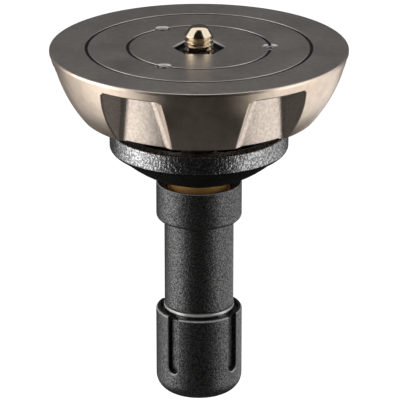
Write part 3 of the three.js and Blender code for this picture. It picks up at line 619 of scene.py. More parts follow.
def make_finishes(colours):
    """Makes every material of the adapter."""
    make_turned_lines()
    make_cast_skin()
    make_paint_grain()

    for name, base, low, high, relief, patches in (
            ("turned_aluminium", colours.turned_aluminium, 0.28, 0.38, 0.02, 330.0),
            ("faced_aluminium", colours.faced_aluminium, 0.36, 0.44, 0.03, 420.0)):
        face = Finish(name, base, metallic=1.0)
        lines = face.group("turned_lines", 2600.0, 70.0)
        tarnish = face.group("cast_skin", patches, 1500.0)
        face.colours(tarnish["Mottle"], (0.70, 0.68, 0.65), 1.20)
        face.vary("Roughness", lines["Drift"], low, high)
        face.bump(lines["Lines"], 0.30, relief)

    cast_face = Finish("raw_casting", colours.cast_aluminium, metallic=0.9)
    skin = cast_face.group("cast_skin", 1100.0, 2400.0)
    cast_face.colours(skin["Mottle"], (0.48, 0.44, 0.40), 1.30)
    cast_face.vary("Roughness", skin["Mottle"], 0.40, 0.27)
    cast_face.bump(skin["Pits"], 0.5, 0.10)

    # Painted shade for the groove floors and the nut recess: a near-black colour stands in for the shade
    # there
    side = Finish("dark_casting", colours.dark_casting, metallic=0.3)
    skin = side.group("cast_skin", 900.0, 2600.0)
    side.colours(skin["Mottle"], 0.7, 1.5)
    side.vary("Roughness", skin["Mottle"], 0.42, 0.54)
    side.bump(skin["Pits"], 0.3, 0.08)

    for name, base, metallic, low, high, density in (
            ("bright_nickel", colours.nickel, 1.0, 0.07, 0.12, 5200.0),
            ("turned_brass", colours.brass, 0.35, 0.30, 0.42, 4200.0),
            ("zinc_plate", colours.zinc, 1.0, 0.26, 0.38, 3200.0)):
        metal = Finish(name, base, metallic=metallic)
        lines = metal.group("turned_lines", density, 240.0)
        metal.colours(lines["Drift"], 0.90, 1.08)
        metal.vary("Roughness", lines["Drift"], low, high)
        metal.bump(lines["Lines"], 0.08, 0.01)

    for name, base, metallic in (("blacked_steel", colours.black_steel, 0.35),
                                 ("dark_zinc", colours.dark_zinc, 1.0)):
        dark = Finish(name, base, metallic=metallic, ior=1.6)
        skin = dark.group("cast_skin", 500.0, 2400.0)
        dark.colours(skin["Mottle"], 0.75, 1.3)
        dark.vary("Roughness", skin["Mottle"], 0.34, 0.46)
        dark.bump(skin["Pits"], 0.15, 0.03)

    for name, scale, strength, relief, low, high, ior, share, flecked in (
            ("cup_band_paint", 1400.0, 0.7, 0.30, 0.24, 0.34, 4.2, 0.6, 0.65),
            ("cup_dome_paint", 1900.0, 0.2, 0.05, 0.60, 0.70, 1.12, 0.4, 0.1),
            ("handle_paint", 1900.0, 0.6, 0.22, 0.36, 0.48, 1.95, 0.9, 0.65)):
        paint = Finish(name, tuple(part * share for part in colours.paint), ior=ior)
        grain = paint.group("paint_grain", scale)
        paint.colours(grain["Flecks"], 0.6, 2.2)
        paint.vary("Roughness", grain["Flecks"], high, low)
        paint.vary("Metallic", grain["Flecks"], flecked, 0.0)
        paint.bump(grain["Grain"], strength, relief)

    # The second entry is a painted highlight for thin rounded edges of the paint
    for name, base, low, high, metallic in (
            ("bright_ring", colours.bright_ring, 0.34, 0.44, 0.4),
            ("worn_edge", colours.worn_edge, 0.40, 0.55, 0.3)):
        pale = Finish(name, base, metallic=metallic)
        skin = pale.group("cast_skin", 1100.0, 2600.0)
        pale.colours(skin["Mottle"], 0.6, 1.35)
        pale.vary("Roughness", skin["Mottle"], low, high)
        pale.bump(skin["Pits"], 0.2, 0.03)

    plastic = Finish("moulded_nylon", colours.nylon, ior=1.53)
    skin = plastic.group("cast_skin", 400.0, 2000.0)
    plastic.colours(skin["Mottle"], 0.94, 1.04)
    plastic.vary("Roughness", skin["Mottle"], 0.42, 0.52)
    plastic.bump(skin["Pits"], 0.08, 0.02)


# Pieces

def sphere_radius(size, depth):
    """Radius of the ball's sphere at a depth."""
    return math.sqrt(size.radius ** 2 - (CENTRE_RISE + depth) ** 2)


def sphere_arc(size, start, stop, steps):
    """Corners along the sphere between two depths."""
    depths = [start + (stop - start) * i / steps for i in range(steps + 1)]
    return [(sphere_radius(size, depth), depth, 0) for depth in depths]


def floor_radius_at(size, depth):
    """Radius of a window's floor at a depth."""
    return size.floor_radius - (depth - size.window_top) * math.tan(size.floor_draft)


def floor_line(size, steps=8):
    """Corners along a window's floor, from the foot to the window's top."""
    depths = [size.height + (size.window_top - size.height) * i / steps for i in range(steps + 1)]
    return [(floor_radius_at(size, depth), depth, 0) for depth in depths]


def ball_corners(size, stud, clamp, windowed):
    """Section of the ball through a window, or through the solid stretch beside it."""
    foot, roof = size.height, size.cavity_roof
    floor = floor_line(size)
    if windowed:
        wall = floor
    else:
        wall = [floor[0]] + sphere_arc(size, foot, size.window_top + ROW_OVER_WINDOW, SPHERE_STEPS)
    grooves = []
    for radius in (size.outer_groove, size.inner_groove):
        half = size.groove_width / 2
        grooves += [(radius + half, 0, GROOVE_EDGE), (radius + half, size.groove_depth, 0),
                    (radius - half, size.groove_depth, 0), (radius - half, 0, GROOVE_EDGE)]
    stud_bore = stud.radius + CLEARANCE
    rod_bore = clamp.rod_radius + CLEARANCE
    step = clamp.rod_top - CLEARANCE
    return [
        (size.cavity_radius, foot, SOFT_EDGE), *wall,
        *sphere_arc(size, size.window_top, size.rim_height, 1),
        (size.rim_radius, size.rim_height, 0), (size.rim_radius, size.rim_edge, FINE_EDGE),
        (size.rim_radius - size.rim_edge, 0, FINE_EDGE), *grooves,
        (stud_bore, 0, 0), (stud_bore, step, 0), (rod_bore, step, 0), (rod_bore, size.hub_foot, 0),
        (size.hub_radius, size.hub_foot, BLUNT_EDGE), (size.hub_radius, roof, size.cavity_fillet),
        (size.cavity_radius, roof, size.cavity_fillet),
    ]


def tag_ball_face(face, size, half):
    """Says which surface of the ball a fresh face belongs to."""
    centre = face.calc_center_median()
    depth = -centre.z / MM - CENTRE_RISE
    across = math.hypot(centre.x, centre.y) / MM
    inside_window = abs(math.atan2(centre.y, centre.x)) < half
    if depth > size.height - WELD / MM:
        return FOOT if across > size.cavity_radius else INNER
    if inside_window and abs(depth - size.window_top) < TOUCH and across > size.floor_radius:
        return WALL
    floor_foot = floor_radius_at(size, size.height)
    if inside_window and depth > size.window_top and floor_foot - FLOOR_MARGIN < across < size.radius:
        return FLOOR
    return OUTSIDE if across > floor_foot else INNER


def slant_walls(form, size, half, pitch):
    """Slides the fresh walls round the axis until each lies in its drafted plane."""
    top_reach = math.sqrt(sphere_radius(size, size.window_top) ** 2 - size.window_half_top ** 2)
    foot_reach = math.sqrt(sphere_radius(size, size.height) ** 2 - size.window_half_foot ** 2)
    slope = math.tan(size.wall_draft)
    fall = ((size.window_half_foot - size.window_half_top - slope * (foot_reach - top_reach))
            / (size.height - size.window_top))
    floor_foot = floor_radius_at(size, size.height)
    for vert in form.verts:
        across = math.hypot(vert.co.x, vert.co.y) / MM
        depth = -vert.co.z / MM - CENTRE_RISE
        if across < floor_foot - FLOOR_MARGIN or depth < size.window_top - TOUCH:
            continue
        aside = size.window_half_top + fall * (depth - size.window_top)
        edge = half
        for _ in range(SETTLING_ROUNDS):
            edge = math.asin((aside + slope * (across * math.cos(edge) - top_reach)) / across)
        azimuth = math.atan2(vert.co.y, vert.co.x)
        if abs(azimuth) <= half:
            wanted = abs(azimuth) * edge / half
        else:
            wanted = edge + (abs(azimuth) - half) * (pitch / 2 - edge) / (pitch / 2 - half)
        wanted = math.copysign(wanted, azimuth)
        vert.co.x = across * math.cos(wanted) * MM
        vert.co.y = across * math.sin(wanted) * MM


def seams(form, *pairs):
    """Edges between faces of the given pairs of tags."""
    wanted = [set(pair) for pair in pairs]
    return [edge for edge in form.edges
            if {face.material_index for face in edge.link_faces} in wanted
            and len(edge.link_faces) == 2 and edge.calc_face_angle() > CREASE_ANGLE]


def round_edges(form, edges, size, segments):
    """Rounds the given edges."""
    bmesh.ops.bevel(form, geom=edges, offset=size * MM, offset_type="OFFSET", segments=segments,
                    profile=0.5, affect="EDGES", material=-1, loop_slide=True)


def ball_shell(size, stud, clamp):
    """The ball with its six windows: one sector is shaped, then repeated round the axis."""
    form = bmesh.new()
    half = size.window_angle / 2
    pitch = math.tau / WINDOW_COUNT
    solid_angle = pitch / 2 - half
    stretches = ((False, -pitch / 2, solid_angle, SOLID_STEPS), (True, -half, 2 * half, WINDOW_STEPS),
                 (False, half, solid_angle, SOLID_STEPS))
    for windowed, azimuth, span, steps in stretches:
        wire = add_outline(form, ball_corners(size, stud, clamp, windowed), azimuth)
        bmesh.ops.spin(form, geom=wire, cent=(0, 0, 0), axis=(0, 0, 1), dvec=(0, 0, 0),
                       angle=span, steps=steps)
    bmesh.ops.remove_doubles(form, verts=form.verts, dist=WELD)
    for face in form.faces:
        face.material_index = tag_ball_face(face, size, half)
    for side in (-half, half):
        open_edges = [edge for edge in form.edges if edge.is_boundary
                      and all(abs(math.atan2(vert.co.y, vert.co.x) - side) < SIDE_SLACK
                              for vert in edge.verts)]
        for face in bmesh.ops.holes_fill(form, edges=open_edges, sides=0)["faces"]:
            face.material_index = WALL
    slant_walls(form, size, half, pitch)
    bmesh.ops.recalc_face_normals(form, faces=form.faces)
    round_edges(form, seams(form, (WALL,)), size.window_corner, EDGE_SEGMENTS)
    round_edges(form, seams(form, (FLOOR, WALL)), size.window_fillet, EDGE_SEGMENTS)
    round_edges(form, seams(form, (WALL, OUTSIDE)), size.window_edge, EDGE_SEGMENTS)
    bmesh.ops.spin(form, geom=form.verts[:] + form.edges[:] + form.faces[:], cent=(0, 0, 0),
                   axis=(0, 0, 1), dvec=(0, 0, 0), angle=pitch * (WINDOW_COUNT - 1),
                   steps=WINDOW_COUNT - 1, use_duplicate=True)
    welded(form)
    round_edges(form, seams(form, (FOOT, WALL), (FOOT, FLOOR), (FOOT, OUTSIDE)), size.foot_edge,
                FOOT_SEGMENTS)
    return moved(form, turn=size.window_turn)


def set_screw_place(size, index):
    """Place of a set screw on the inner groove, in millimetres."""
    azimuth = math.tau * index / SCREW_COUNT + size.screw_turn
    return size.inner_groove * math.cos(azimuth), size.inner_groove * math.sin(azimuth)


def ball_finish(size, stud):
    """A rule that picks a face's finish: 0 turned, 1 cast, 2 faced top, 3 painted shade."""
    corner_share, groove_shade = 0.6, 0.28
    slack, face_slack, rim_slack, sphere_slack = 0.05, 0.1, 0.2, 0.12

    def rule(face):
        centre = face.calc_center_median()
        depth = -centre.z / MM - CENTRE_RISE
        across = math.hypot(centre.x, centre.y) / MM
        in_recess = across < stud.nut_flats * corner_share and depth > stud.recess_edge - slack
        groove = min(abs(across - size.outer_groove), abs(across - size.inner_groove))
        on_top = depth < size.groove_depth + face_slack
        in_groove = groove < size.groove_width / 2 + slack and depth > groove_shade and on_top
        # The groove floors and the nut recess take the painted shade, finish 3
        if in_recess or in_groove:
            return 3
        if on_top and across < size.rim_radius - face_slack:
            return 2
        on_sphere = abs(centre.length / MM - size.radius) < sphere_slack
        if on_sphere or across > size.rim_radius - rim_slack or depth > size.height - slack:
            return 0
        return 1
    return rule


def make_ball(scene):
    """The cast and turned body."""
    size, stud, clamp = (sizes_of(scene, name)
                         for name in ("adapter_ball", "adapter_stud", "adapter_clamp"))
    form = ball_shell(size, stud, clamp)
    half_web = size.web_thickness / 2
    webs = [moved(block((size.hub_radius - half_web, -half_web, size.cavity_roof - half_web),
                        (size.cavity_radius + half_web, half_web, size.web_foot)),
                  turn=size.window_turn + math.tau * (i + 0.5) / WINDOW_COUNT)
            for i in range(WINDOW_COUNT)]
    form = combined(form, webs, "UNION")
    flats = stud.nut_flats + 2 * CLEARANCE
    recess_floor = stud.nut_depth + stud.nut_thickness + CLEARANCE
    cutters = [prism(flats, -OVERRUN, recess_floor),
               prism(flats, -OVERRUN, stud.recess_edge, flare=stud.recess_edge + OVERRUN)]
    hole, mouth = stud.set_screw_radius + CLEARANCE, 0.5
    for index in range(SCREW_COUNT):
        x, y = set_screw_place(size, index)
        cutters.append(moved(turned([(0, size.cavity_roof + OVERRUN, 0),
                                     (hole, size.cavity_roof + OVERRUN, 0), (hole, mouth, 0),
                                     (hole + mouth + OVERRUN, -OVERRUN, 0), (0, -OVERRUN, 0)],
                                    SMALL_SIDES, closed=False), x, y))
    form = combined(form, cutters, "DIFFERENCE")
    place_piece("ball_body", form, "ball",
                ["turned_aluminium", "raw_casting", "faced_aluminium", "dark_casting"],
                ["half_ball"], ball_finish(size, stud))


def hex_nut(flats, bore, top, foot):
    """A hex nut with its corners turned off at both faces and a bored, sunk hole."""
    corner = flats / math.sqrt(3)
    chamfer_slope, margin, sink, over = 0.58, 0.1, 0.8, 1
    drop = (corner - flats / 2) * chamfer_slope
    blank = turned([(0, foot, 0), (flats / 2, foot, 0), (corner + margin, foot - drop, 0),
                    (corner + margin, top + drop, 0), (flats / 2, top, 0), (0, top, 0)],
                   SMALL_SIDES, closed=False)
    hole = turned([(0, foot + over, 0), (bore + sink + over, foot + over, 0), (bore, foot - sink, 0),
                   (bore, top + sink, 0), (bore + sink + over, top - over, 0), (0, top - over, 0)],
                  SMALL_SIDES, closed=False)
    return combined(combined(prism(flats, top, foot), [blank], "INTERSECT"), [hole], "DIFFERENCE")


def make_stud(scene):
    """The camera stud with its conical tip, and the hex nut round it."""
    stud = sizes_of(scene, "adapter_stud")
    end_bevel, thread_steps, fade = 0.4, 64, 0.12
    tip_bevel, bevel_drop, edge_drop = 0.30, 0.75, 0.45
    top, foot = -stud.cone_height, stud.foot_depth - end_bevel
    form = threaded(stud.radius, stud.pitch, stud.thread_depth, top, foot,
                    steps=thread_steps, fade=fade)
    capped_bar(form, [(stud.tip_radius + tip_bevel, bevel_drop - stud.tip_height),
                      (stud.tip_radius, edge_drop - stud.tip_height),
                      (stud.tip_flat, -stud.tip_height)],
               [(stud.radius - end_bevel, stud.foot_depth)], top, foot)
    place_piece("stud_screw", form, "ball", ["bright_nickel"], ["camera_stud"])
    nut = hex_nut(stud.nut_flats, stud.radius + CLEARANCE, stud.nut_depth,
                  stud.nut_depth + stud.nut_thickness)
    place_piece("stud_hex_nut", nut, "ball", ["blacked_steel"], ["stud_nut"])


def make_set_screws(scene):
    """The three set screws on the inner groove, each with a hex socket."""
    size, stud = sizes_of(scene, "adapter_ball"), sizes_of(scene, "adapter_stud")
    top = stud.set_screw_depth
    over, socket_depth, mouth_depth, mouth_flare = 1, 2.5, 0.2, 1.2
    for index in range(SCREW_COUNT):
        form = bar(stud.set_screw_radius, top, top + stud.set_screw_length, SOFT_EDGE)
        sockets = [prism(stud.set_screw_socket, top - over, top + socket_depth),
                   prism(stud.set_screw_socket, top - over, top + mouth_depth, flare=mouth_flare)]
        form = combined(form, sockets, "DIFFERENCE")
        name = f"set_screw_{index + 1}"
        place_piece(f"{name}_pin", moved(form, *set_screw_place(size, index)), name,
                    ["dark_zinc"], [name])


def make_rod(scene):
    """The threaded clamp rod with its lock nut, cross pin and end stop."""
    clamp, size = sizes_of(scene, "adapter_clamp"), sizes_of(scene, "adapter_ball")
    hidden_thread, top_bevel, foot_bevel, thread_steps = 3, 0.8, 0.9, 40
    top, foot = size.hub_foot - hidden_thread, clamp.rod_foot - foot_bevel
    form = threaded(clamp.rod_radius, clamp.rod_pitch, clamp.rod_thread, top, foot,
                    steps=thread_steps)
    capped_bar(form, [(clamp.rod_radius, clamp.rod_top + top_bevel),
                      (clamp.rod_radius - top_bevel, clamp.rod_top)],
               [(clamp.rod_radius - foot_bevel, clamp.rod_foot)], top, foot)
    place_piece("rod_screw", form, "ball", ["zinc_plate"], ["clamp_rod"])
    nut_top = size.hub_foot + CLEARANCE
    nut = hex_nut(clamp.lock_nut_flats, clamp.rod_radius + CLEARANCE, nut_top,
                  nut_top + clamp.lock_nut_thickness)
    place_piece("rod_hex_nut", nut, "ball", ["zinc_plate"], ["rod_lock_nut"])
    for node, finish in (("rod_spring_pin", "blacked_steel"), ("rod_stop_washer", "zinc_plate"),
                         ("rod_stop_screw", "blacked_steel")):
        finish_node(node, finish)


def bent(start, pull, stop, steps):
    """Corners of a smooth curve from start to stop that leans towards pull."""
    corners = []
    for i in range(steps + 1):
        t = i / steps
        corners.append(tuple((1 - t) ** 2 * a + 2 * t * (1 - t) * b + t ** 2 * c
                             for a, b, c in zip(start, pull, stop)) + (0,))
    return corners


def make_cup(scene):
    """The clamp cup with its painted band and dome, and the bush inside."""
    clamp = sizes_of(scene, "adapter_clamp")
    band_foot = clamp.cup_top + clamp.cup_band
    shoulder = (clamp.shoulder_radius, band_foot + clamp.shoulder_drop)
    inset = clamp.cup_radius - clamp.shoulder_radius
    dome_steps, turn_in_steps = 16, 7
    dish, dome_lip, bowl_round, flange_thickness, liner_inset, paint_edge = 0.3, 1, 1.2, 1.2, 0.4, 0.2
    dome = bent((clamp.neck_radius, clamp.dome_foot), (clamp.bulge_radius, clamp.bulge_depth), shoulder,
                dome_steps)
    turn_in = bent(shoulder, (clamp.cup_radius, band_foot + inset / 2), (clamp.cup_radius, band_foot),
                   turn_in_steps)
    bush = clamp.rod_radius + CLEARANCE + clamp.bush_wall
    hole, flange = bush + CLEARANCE, clamp.bush_flange + CLEARANCE
    flange_foot = clamp.bowl_floor + flange_thickness
    flange_floor = flange_foot + CLEARANCE
    dish_floor = clamp.dome_foot + dish
    form = turned([
        (hole, clamp.cup_foot, 0), (clamp.boss_radius, clamp.cup_foot, CRISP_EDGE),
        (clamp.boss_radius, dish_floor, BLUNT_EDGE), (clamp.neck_radius - dome_lip, dish_floor, 0),
        (clamp.neck_radius, clamp.dome_foot, LIP_EDGE), *dome[1:], *turn_in[1:],
        (clamp.cup_radius, clamp.cup_top, clamp.cup_rim_edge),
        (clamp.bowl_radius, clamp.cup_top, BLUNT_EDGE),
        (clamp.bowl_radius, clamp.bowl_wall, bowl_round),
        (clamp.bowl_floor_radius, clamp.bowl_floor, bowl_round), (flange, clamp.bowl_floor, CRISP_EDGE),
        (flange, flange_floor, 0), (hole, flange_floor, 0),
    ], BALL_SIDES)
    edge = below(band_foot + paint_edge)
    place_piece("cup_shell", form, "cup", ["cup_band_paint", "cup_dome_paint"],
                ["clamp_cup"], lambda face: 0 if face.calc_center_median().z > edge else 1)
    inner = clamp.rod_radius + CLEARANCE
    liner_foot = clamp.cup_foot - liner_inset
    form = turned([(inner, liner_foot, 0), (bush, liner_foot, CRISP_EDGE),
                   (bush, flange_foot, 0), (clamp.bush_flange, flange_foot, RING_EDGE),
                   (clamp.bush_flange, clamp.bowl_floor, SOFT_EDGE), (inner, clamp.bowl_floor, SOFT_EDGE)])
    place_piece("cup_liner", form, "cup", ["moulded_nylon"], ["cup_bush"])


def make_washer(scene):
    """The brass thrust washer between the cup and the handle."""
    clamp = sizes_of(scene, "adapter_clamp")
    top = clamp.cup_foot + CLEARANCE
    form = sleeve(clamp.rod_radius + CLEARANCE, clamp.washer_radius, top, top + clamp.washer_thickness,
                  RING_EDGE)
    place_piece("washer_disc", form, "washer", ["turned_brass"], ["thrust_washer"])


def outward_share(face):
    """How far a face looks straight away from the axis, 0 to 1."""
    centre = face.calc_center_median()
    return face.normal.dot(Vector((centre.x, centre.y, 0)).normalized())


def edge_highlight_at(radius, top, foot):
    """A rule that gives slanted faces near a radius, between two depths, the painted edge highlight, 1."""
    reach, least_share, most_share = 0.55, 0.25, 0.93

    def rule(face):
        centre = face.calc_center_median()
        depth = -centre.z / MM - CENTRE_RISE
        near = math.hypot(centre.x, centre.y) / MM > radius - reach and top < depth < foot
        # Slanted faces near the edge take the painted highlight colour
        return 1 if near and least_share < outward_share(face) < most_share else 0
    return rule


def make_handle(scene):
    """The handle's collar, stem and spigot, with its threaded insert."""
    size = sizes_of(scene, "adapter_handle")
    clamp = sizes_of(scene, "adapter_clamp")
    head_hole = clamp.bush_flange + CLEARANCE
    highlight_height = 0.5
    form = turned([
        (size.bore_radius, size.spigot_foot, 0), (size.spigot_radius, size.spigot_foot, BLUNT_EDGE),
        (size.spigot_radius, size.stem_foot, 0), (size.stem_radius, size.stem_foot, SOFT_EDGE),
        (size.stem_radius, size.collar_foot, SOFT_EDGE),
        (size.collar_radius, size.collar_foot, size.collar_foot_round),
        (size.collar_radius, size.collar_top, size.collar_top_round),
        (size.collar_radius - size.lip_width, size.collar_top, SOFT_EDGE),
        (head_hole, size.dish_floor, CRISP_EDGE),
        (head_hole, size.insert_foot, 0), (size.bore_radius, size.insert_foot, 0),
    ])
    # The collar's rounded lip takes the painted edge highlight
    place_piece("handle_grip_tube", form, "handle", ["handle_paint", "worn_edge"],
                ["handle_tube"], edge_highlight_at(size.collar_radius, size.collar_top, size.collar_top + highlight_height))
    finish_node("handle_insert", "turned_brass")


def slot_cutter(size):
    """Cutter for one grip slot, towards +X: straight walls, a round foot and a flared mouth."""
    half = size.slot_width / 2
    floor = size.knob_radius - size.slot_depth
    rim_drop, foot_steps = 1.6, 16
    centre, top = size.slot_foot - half, size.stem_foot + rim_drop - OVERRUN
    levels = ((floor, 0.0), (size.knob_radius - size.slot_edge, 0.0),
              (size.knob_radius + OVERRUN, size.slot_edge + OVERRUN))
    form = bmesh.new()
    rings = []
    for across, spread in levels:
        reach = half + spread
        points = [form.verts.new((across * MM, side * reach * MM, below(top))) for side in (-1, 1)]
        points += [form.verts.new((across * MM, reach * math.cos(turn) * MM,
                                   below(centre + reach * math.sin(turn))))
                   for turn in (math.pi * i / foot_steps for i in range(foot_steps + 1))]
        ring = [form.edges.new(pair) for pair in zip(points, points[1:] + points[:1])]
        rings.append(ring)
    for lower, upper in zip(rings, rings[1:]):
        bmesh.ops.bridge_loops(form, edges=lower + upper)
    bmesh.ops.holes_fill(form, edges=[edge for edge in form.edges if edge.is_boundary], sides=0)
    bmesh.ops.recalc_face_normals(form, faces=form.faces)
    return form


def make_knob(scene):
    """The slotted knob, the bright ring at its mouth, and its washer, screw and plug."""
    size = sizes_of(scene, "adapter_handle")
    ring_top = size.stem_foot + CLEARANCE
    collar = ring_top + size.ring_thickness + CLEARANCE
    rim_drop, highlight_reach = 0.1, 1
    well_radius, well_depth = 7.6, 6.6
    disc_radius, disc_thickness = 7.2, 1.6
    head_radius, head_height, head_round = 5.2, 3.4, 1.7
    screw_radius, screw_reach = 3.0, 9.3
    socket_flats, socket_floor = 4, 1.36
    rim = collar + rim_drop
    bore = size.spigot_radius + CLEARANCE
    roof = size.knob_foot - well_depth
    floor = size.spigot_foot + CLEARANCE
    hole = screw_radius + CLEARANCE
    form = turned([
        (hole, roof, 0), (well_radius, roof, 0), (well_radius, size.knob_foot, LIP_EDGE),
        (size.knob_radius, size.knob_foot, size.knob_round),
        (size.knob_radius, rim, size.knob_rim_round), (size.mouth_radius, rim, CRISP_EDGE),
        (size.mouth_radius, rim + size.mouth_depth, 0), (size.mouth_collar, rim + size.mouth_depth, 0),
        (size.mouth_collar, collar, RING_EDGE), (bore, collar, HAIRLINE_EDGE), (bore, floor, 0),
        (hole, floor, 0),
    ])
    cutters = [moved(slot_cutter(size), turn=size.slot_turn + math.tau * i / SLOT_COUNT)
               for i in range(SLOT_COUNT)]
    # The knob's rim rounding and slot chamfers take the painted edge highlight
    place_piece("knob_grip", combined(form, cutters, "DIFFERENCE"), "handle",
                ["handle_paint", "worn_edge"], ["knob"],
                edge_highlight_at(size.knob_radius, rim, size.slot_foot + highlight_reach))
    ring = sleeve(bore, size.ring_radius, ring_top, ring_top + size.ring_thickness, FINE_EDGE)
    place_piece("knob_bright_ring", ring, "handle", ["bright_ring"], ["knob_ring"])
    washer_top = roof + CLEARANCE
    disc = sleeve(hole, disc_radius, washer_top, washer_top + disc_thickness, DISC_EDGE)
    place_piece("knob_disc", disc, "handle", ["zinc_plate"], ["knob_washer"])
    head = washer_top + disc_thickness + CLEARANCE
    head_foot, screw_top = head + head_height, floor - screw_reach
    screw = turned([(0, head_foot, 0), (head_radius, head_foot, head_round), (head_radius, head, CRISP_EDGE),
                    (screw_radius, head, 0), (screw_radius, screw_top, BLUNT_EDGE), (0, screw_top, 0)],
                   SMALL_SIDES, closed=False)
    socket = prism(socket_flats, head + socket_floor, head_foot + OVERRUN)
    screw = combined(screw, [socket], "DIFFERENCE")
    place_piece("knob_button_screw", screw, "handle", ["blacked_steel"], ["knob_screw"])
    finish_node("handle_plug", "zinc_plate")


# Stage

def white_to_view(tree):
    """1 for camera, glossy and transmission rays, 0 for the rest."""
    path = add_node(tree, "ShaderNodeLightPath").outputs
    seen = calculate(tree, "MAXIMUM", path["Is Camera Ray"], path["Is Glossy Ray"])
    return calculate(tree, "MAXIMUM", seen, path["Is Transmission Ray"])


def make_card(name, low, high, level):
    """A card that only reflections see, level or facing the camera, between two corners in metres."""
    middle = (Vector(low) + Vector(high)) / 2
    width, length_back, height = Vector(high) - Vector(low)
    standing = height > 0
    turn = Matrix.Rotation(math.pi / 2 if standing else 0.0, 4, "X")
    spread = Matrix.Diagonal((width, height if standing else length_back, 1.0, 1.0))
    mesh = bpy.data.meshes.new(name)
    form = bmesh.new()
    bmesh.ops.create_grid(form, x_segments=1, y_segments=1, size=0.5,
                          matrix=Matrix.Translation(middle) @ turn @ spread)
    form.to_mesh(mesh)
    form.free()
    material = bpy.data.materials.new(name)
    material.use_nodes = True
    tree = material.node_tree
    tree.nodes.remove(tree.nodes["Principled BSDF"])
    glow = add_node(tree, "ShaderNodeEmission", {"Color": (1, 1, 1, 1), "Strength": level})
    tree.links.new(glow.outputs[0], tree.nodes["Material Output"].inputs["Surface"])
    mesh.materials.append(material)
    card = bpy.data.objects.new(name, mesh)
    bpy.context.scene.collection.objects.link(card)
    card.visible_camera = False
    card.visible_diffuse = False
    card.visible_shadow = False
    card.visible_transmission = False


def make_lamp(name, place, width, height, power):
    """A soft rectangular lamp that faces the middle of the object."""
    middle = Vector((0, 0, -0.05))
    lamp = bpy.data.lights.new(name, "AREA")
    lamp.shape = "RECTANGLE"
    lamp.size, lamp.size_y = width, height
    lamp.energy = power
    holder = bpy.data.objects.new(name, lamp)
    holder.location = place
    holder.rotation_euler = (Vector(place) - middle).to_track_quat("Z", "Y").to_euler()
    holder.visible_camera = False
    bpy.context.scene.collection.objects.link(holder)


def round_place(azimuth, distance, height):
    """A place round the object: azimuth in degrees to the right of the camera."""
    turn = math.radians(azimuth)
    return distance * math.sin(turn), -distance * math.cos(turn), height


def make_stage(scene):
    """The camera, floor, world, lamps and cards."""
    setting = scene.adapter_stage
    camera = bpy.data.objects.new("camera", bpy.data.cameras.new("camera"))
    camera.data.lens = setting.lens
    camera.data.sensor_width = 36.0
    camera.data.clip_start, camera.data.clip_end = 0.05, 20.0
    camera.location = (setting.camera_side, -setting.camera_distance, setting.camera_height)
    camera.rotation_euler = (setting.camera_tilt, 0.0, 0.0)
    scene.collection.objects.link(camera)
    scene.camera = camera

    mesh = bpy.data.meshes.new("floor")
    form = bmesh.new()
    bmesh.ops.create_grid(form, x_segments=1, y_segments=1, size=4.0,
                          matrix=Matrix.Translation((0, 0, -setting.floor_depth)))
    form.to_mesh(mesh)
    form.free()
    floor = bpy.data.objects.new("floor", mesh)
    scene.collection.objects.link(floor)
    grey, floor_glow = 0.8, 0.85
    material = bpy.data.materials.new("pale_floor")
    material.use_nodes = True
    tree = material.node_tree
    shader = tree.nodes["Principled BSDF"]
    shader.inputs["Base Color"].default_value = (grey, grey, grey, 1.0)
    shader.inputs["Roughness"].default_value = 1.0
    shader.inputs["Specular IOR Level"].default_value = 0.0
    glow = add_node(tree, "ShaderNodeEmission", {"Color": (1, 1, 1, 1), "Strength": floor_glow})
    both = add_node(tree, "ShaderNodeAddShader", {0: shader.outputs[0], 1: glow.outputs[0]})
    mix = add_node(tree, "ShaderNodeMixShader", {"Fac": white_to_view(tree), 1: shader.outputs[0],
                                                 2: both.outputs[0]})
    behind = add_node(tree, "ShaderNodeNewGeometry").outputs["Backfacing"]
    clear = add_node(tree, "ShaderNodeBsdfTransparent")
    one_way = add_node(tree, "ShaderNodeMixShader", {"Fac": behind, 1: mix.outputs[0], 2: clear.outputs[0]})
    tree.links.new(one_way.outputs[0], tree.nodes["Material Output"].inputs["Surface"])
    mesh.materials.append(material)

    world = bpy.data.worlds.new("studio")
    world.use_nodes = True
    scene.world = world
    tree = world.node_tree
    strength = add_node(tree, "ShaderNodeMix", {"Factor": white_to_view(tree), "A": setting.fill, "B": 1.0})
    background = tree.nodes["Background"]
    background.inputs["Color"].default_value = (1, 1, 1, 1)
    tree.links.new(strength.outputs[0], background.inputs["Strength"])

    for name, azimuth, width, power in (("left_lamp", -82, 0.75, setting.left_lamp),
                                        ("right_lamp", 70, 0.65, setting.right_lamp)):
        make_lamp(name, round_place(azimuth, 0.9, 0.0), width, 0.9, power)
    for name, low, high, level in (
            ("front_card", (-0.60, -0.5, -0.5), (0.66, -0.5, 0.85), 0.006),
            ("lower_card", (-0.31, -0.5, -0.40), (0.31, 0.60, -0.40), 0.065),
            ("left_dark_card", (-0.25, -0.5, -0.39), (-0.10, -0.09, -0.39), 0.0),
            ("right_dark_card", (0.10, -0.5, -0.39), (0.25, -0.09, -0.39), 0.0),
            ("left_floor_card", (-0.80, 0.20, -0.45), (-0.10, 0.95, -0.45), 0.6),
            ("rear_card", (-1.0, 0.6, -0.5), (0.16, 0.6, 0.7), 0.07),
            ("right_rear_card", (0.16, 0.6, -0.33), (0.80, 0.6, 0.7), 0.075)):
        make_card(name, low, high, level)
    scene.view_settings.view_transform = "Standard"


# Operators, panel and registration

class StepOperator:
    """What every building step shares."""
    bl_options = {"REGISTER", "UNDO"}

    def execute(self, context):
        type(self).make(context.scene)
        return {"FINISHED"}


class ADAPTER_OT_finishes(StepOperator, Operator):
    """Makes the adapter's materials"""
    bl_idname = "adapter.finishes"
    bl_label = "Make Finishes"
    make = staticmethod(lambda scene: make_finishes(scene.adapter_finish))


